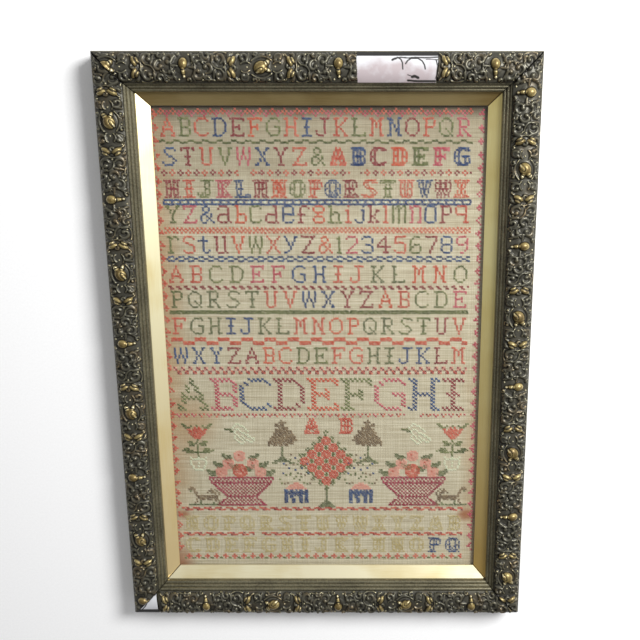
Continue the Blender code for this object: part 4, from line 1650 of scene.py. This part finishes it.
    def basket(self, column: float, row: float) -> None:
        """A latticed basket of roses with its middle at the column and its rim at the row."""
        halves = (17, 17, 16, 16, 15, 14, 13, 12, 11, 10, 9, 8, 8, 10, 11, 12, 13)
        solid_rows = (0, 3, 11, 16)
        for down, half in enumerate(halves):
            for across in range(-half, half + 1):
                solid = down in solid_rows or abs(across) >= half
                if solid or (across + down) % 2 == 0:
                    self.put("c", column + across, row + down)
        for across, down in ((-18, -4.4), (13, -4.4), (-14.4, -9), (9.4, -9), (-9.6, -13.4), (4.6, -13.4),
                             (-6, -8), (2, -7)):
            self.chart(self.LEAF, column + across, row + down, mirror=across > 0)
        for across, down in ((-3, -15), (-9, -10.4), (4, -10.6), (-13, -5.6), (8, -5.6)):
            self.chart(self.ROSE, column + across, row + down)
        self.chart(self.BIG_ROSE, column - 4, row - 7.4)

    def stand(self, column: float, row: float) -> None:
        """A blue flower stand: a pink mound on a bar with four legs, under a spray of dots."""
        self.chart(self.STAND, column - 6, row)
        narrow, tall = 0.76, 1.75
        for ring, count in ((6.2, 5), (8.2, 8), (10.2, 9), (11.6, 6)):
            for number in range(count):
                angle = math.pi * (number + 0.5) / count
                thread = "nbg"[(number + count) % 3]
                across = ring * narrow * math.cos(angle)
                self.put(thread, column + across, row + 3 - ring * math.sin(angle) * tall)
        for across, down in ((-1, -3), (0, -4), (2, -2), (3, -4), (-3, -5), (1, -6)):
            self.put("g", column + across, row + down)

    def work(self) -> None:
        """Chart the whole sampler."""
        for letters, threads, top, style in self.LETTER_ROWS:
            self.letter_row(letters, threads, top, style)
        for top, repeat, left_out in self.BANDS:
            self.band(top, repeat, left_out)
        self.side_borders()
        for pair in self.PAIRS:
            self.pair(*pair)
        self.rose_diamond(*self.ROSE_DIAMOND)
        for place in self.BASKETS:
            self.basket(*place)
        for place in self.STANDS:
            self.stand(*place)
        self.pair(*self.DOGS)
        for place in self.BIRDS:
            self.chart(self.BIRD, *place)
        for letter, column in self.OVER_DIAMOND:
            for across, down in self.letter_cells(letter, Style.DOUBLE):
                self.put(self.OVER_THREAD, column + across, self.OVER_ROW + down)


@dataclass
class Sampler:
    """The linen sheet, stretched flat under the glass, and the stitches worked through it."""

    sizes: FrameSizes
    pitch: float = 1.9 * MM
    sheet_thick: float = 0.7 * MM
    ripple: float = 0.12 * MM
    wave_across: float = 31 * MM
    wave_up: float = 47 * MM
    across_cells: int = 48
    down_cells: int = 70
    strand: float = 0.44 * MM
    rise: float = 0.18 * MM
    uneven: float = 0.10
    askew: float = 0.09
    tension: tuple = (0.90, 1.06)
    seed: int = 21

    def surface(self, x: np.ndarray, y: np.ndarray) -> np.ndarray:
        """Height of the linen's upper face at places across and up."""
        wave = np.sin(x / self.wave_across) * np.sin(y / self.wave_up + 1.0)
        return self.sizes.cloth_low.z + self.sheet_thick + self.ripple * wave

    def build_sheet(self, material: bpy.types.Material) -> bpy.types.Object:
        """The linen: a thin closed sheet with faint ripples."""
        low, high = self.sizes.cloth_low, self.sizes.cloth_high
        x = np.linspace(low.x, high.x, self.across_cells + 1)
        y = np.linspace(low.y, high.y, self.down_cells + 1)
        grid_x, grid_y = np.meshgrid(x, y, indexing="ij")
        top = np.stack([grid_x, grid_y, self.surface(grid_x, grid_y)], axis=-1).reshape(-1, 3)
        under = top.copy()
        under[:, 2] -= self.sheet_thick
        rows = self.down_cells + 1
        count = len(top)
        faces = []
        for i in range(self.across_cells):
            for j in range(self.down_cells):
                a = i * rows + j
                faces.append((a, a + rows, a + rows + 1, a + 1))
                faces.append((count + a, count + a + 1, count + a + rows + 1, count + a + rows))
        edge = [(i, 0) for i in range(self.across_cells)]
        edge += [(self.across_cells, j) for j in range(self.down_cells)]
        edge += [(i, self.down_cells) for i in range(self.across_cells, 0, -1)]
        edge += [(0, j) for j in range(self.down_cells, 0, -1)]
        ring = [i * rows + j for i, j in edge]
        for here, after in zip(ring, ring[1:] + ring[:1]):
            faces.append((here, count + here, count + after, after))
        piece = mesh_piece("linen_sheet", np.concatenate([top, under]), faces, material)
        hand_over(piece, "sampler_cloth")
        return piece

    def build_stitches(self) -> list[bpy.types.Object]:
        """Every stitch, one piece for each thread."""
        chart = SamplerChart()
        chart.work()
        rng = np.random.default_rng(self.seed)
        sight_top = self.sizes.height / 2 - self.sizes.sight
        pieces = []
        for thread in Thread:
            spots = np.array(chart.stitches.get(thread.letter, []))
            if not len(spots):
                continue
            spots[:, :2] += rng.normal(0, self.uneven, (len(spots), 2))
            x = spots[:, 0] * self.pitch
            y = sight_top - spots[:, 1] * self.pitch
            turn = np.zeros((len(x), 3))
            turn[:, 2] = rng.normal(0, self.askew, len(x))
            size = np.ones((len(x), 3))
            size[:, :2] = (spots[:, 2] * rng.uniform(*self.tension, len(x)))[:, None]
            tone = rng.uniform(0, 1, len(x))
            piece = CrossStitches().run(
                f"stitches_{thread.name.lower()}", np.stack([x, y, self.surface(x, y)], axis=1),
                {"turn": turn, "size": size, "tone": tone},
                {"Pitch": self.pitch, "Thread Radius": self.strand, "Rise": self.rise,
                 "Material": WoolThread(thread).build()})
            hand_over(piece)
            pieces.append(piece)
        return pieces


# ---------------------------------------------------------------- the studio


@dataclass
class Studio:
    """Pale floor, soft light from the upper right, and the camera over the frame."""

    camera_place: tuple = (0.0517, 0.2098, 0.7653)
    camera_tilt: float = -13.76
    lens: float = 45.0
    shift: tuple = (-0.0875, 0.011)
    clip: tuple = (0.01, 20.0)
    key_place: tuple = (0.82, 0.68, 1.00)
    key_size: float = 0.55
    key_power: float = 28.5
    world_strength: float = 0.54
    brightest_way: tuple = (0.22, 0.58, 0.77)
    room: tuple = ((0.35, "58585c"), (0.50, "86868a"), (0.64, "c4c4c6"), (0.85, "ffffff"))
    paper: tuple = ((0.3, "f6f6f6"), (0.7, "fafafa"))
    fibre_mm: float = 2.0
    floor_reach: float = 4.0

    def build(self) -> None:
        """Make the floor, lights, world and camera."""
        scene = bpy.context.scene
        scene.view_settings.view_transform = "Standard"
        self.add_camera(scene)
        self.add_key(scene)
        self.add_world(scene)
        self.add_floor()

    def add_camera(self, scene: bpy.types.Scene) -> None:
        """The camera, with the shift that the framing needs."""
        data = bpy.data.cameras.new("camera")
        data.lens = self.lens
        data.shift_x, data.shift_y = self.shift
        data.clip_start, data.clip_end = self.clip
        camera = bpy.data.objects.new("camera", data)
        camera.location = self.camera_place
        camera.rotation_euler = (math.radians(self.camera_tilt), 0, 0)
        scene.collection.objects.link(camera)
        scene.camera = camera

    def add_key(self, scene: bpy.types.Scene) -> None:
        """The broad key light."""
        data = bpy.data.lights.new("key", "AREA")
        data.shape = "DISK"
        data.size = self.key_size
        data.energy = self.key_power
        key = bpy.data.objects.new("key", data)
        key.location = self.key_place
        key.rotation_euler = (-Vector(self.key_place)).to_track_quat("-Z", "Y").to_euler()
        scene.collection.objects.link(key)

    def add_world(self, scene: bpy.types.Scene) -> None:
        """A room that is brightest above and to the right, and darkest below the frame's foot."""
        world = bpy.data.worlds.new("room")
        world.use_nodes = True
        tree = world.node_tree
        way = add_node(tree, "ShaderNodeTexCoord").outputs["Generated"]
        toward = add_node(tree, "ShaderNodeVectorMath", {"operation": "DOT_PRODUCT"},
                          {0: way, 1: Vector(self.brightest_way).normalized()})
        level = add_node(tree, "ShaderNodeMapRange", None,
                         {"Value": toward, "From Min": -1.0, "From Max": 1.0})
        ramp = add_node(tree, "ShaderNodeValToRGB", {"stops": self.room}, {"Fac": level})
        feed(tree, tree.nodes["Background"], {"Color": ramp, "Strength": self.world_strength})
        scene.world = world

    def add_floor(self) -> None:
        """A wide matt white floor under the frame."""
        material, tree, shader, place = new_finish("white_paper")
        fibre = add_node(tree, "ShaderNodeTexNoise", None,
                         {"Scale": 1 / (self.fibre_mm * MM), "Vector": place})
        ramp = add_node(tree, "ShaderNodeValToRGB", {"stops": self.paper}, {"Fac": fibre})
        feed(tree, shader, {"Base Color": ramp, "Roughness": 0.9, "Specular IOR Level": 0.1})
        corners = np.array([(-1, -1, 0), (1, -1, 0), (1, 1, 0), (-1, 1, 0)]) * self.floor_reach
        mesh_piece("floor", corners, [(0, 1, 2, 3)], material, smooth=False)


# ---------------------------------------------------------------- the whole piece


def dress_frame(sizes: FrameSizes) -> None:
    """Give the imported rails, slips, glass and board their finishes."""
    # One gilt in lighter and darker copies: painted light on the right, left and bottom slips, painted shade
    # on the top one.
    slips = (
        GiltSlip(Side.TOP, "b9a472", "9c8452"),
        GiltSlip(Side.RIGHT, "fff2ae", "efdc90", 0.7),
        GiltSlip(Side.BOTTOM, "e9e1bf", "d9ca9b"),
        GiltSlip(Side.LEFT, "f7efc6", "ead9a0", 0.5),
    )
    rail = BronzedPine().build(sizes)
    finishes = {"glass_pane": WindowGlass().build(), "backboard": BarePine().build()}
    for slip in slips:
        finishes[f"rail_{slip.side.label}"] = rail
        finishes[f"slip_{slip.side.label}"] = slip.build(sizes)
    for name, finish in finishes.items():
        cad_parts[name].material_slots[0].material = finish


def main() -> None:
    """Build every sub-assembly in order."""
    logging.basicConfig(level=logging.INFO, format="%(message)s")
    sizes = FrameSizes()
    dress_frame(sizes)
    Ornament(sizes).build(BronzedComposition().build(sizes))
    chalk = BareGesso().build()
    TopLoss("bare_gesso_top", Side.TOP, sizes, low=34.6, high=105.4, seed=5).build(chalk)
    CornerLoss("bare_gesso_corner", Side.BOTTOM, sizes, low=173.6, high=None, seed=6).build(chalk)
    sampler = Sampler(sizes)
    sheet = sampler.build_sheet(AgedLinen().build(sizes))
    stitches = sampler.build_stitches()
    Studio().build()


if __name__ == "__main__":
    main()
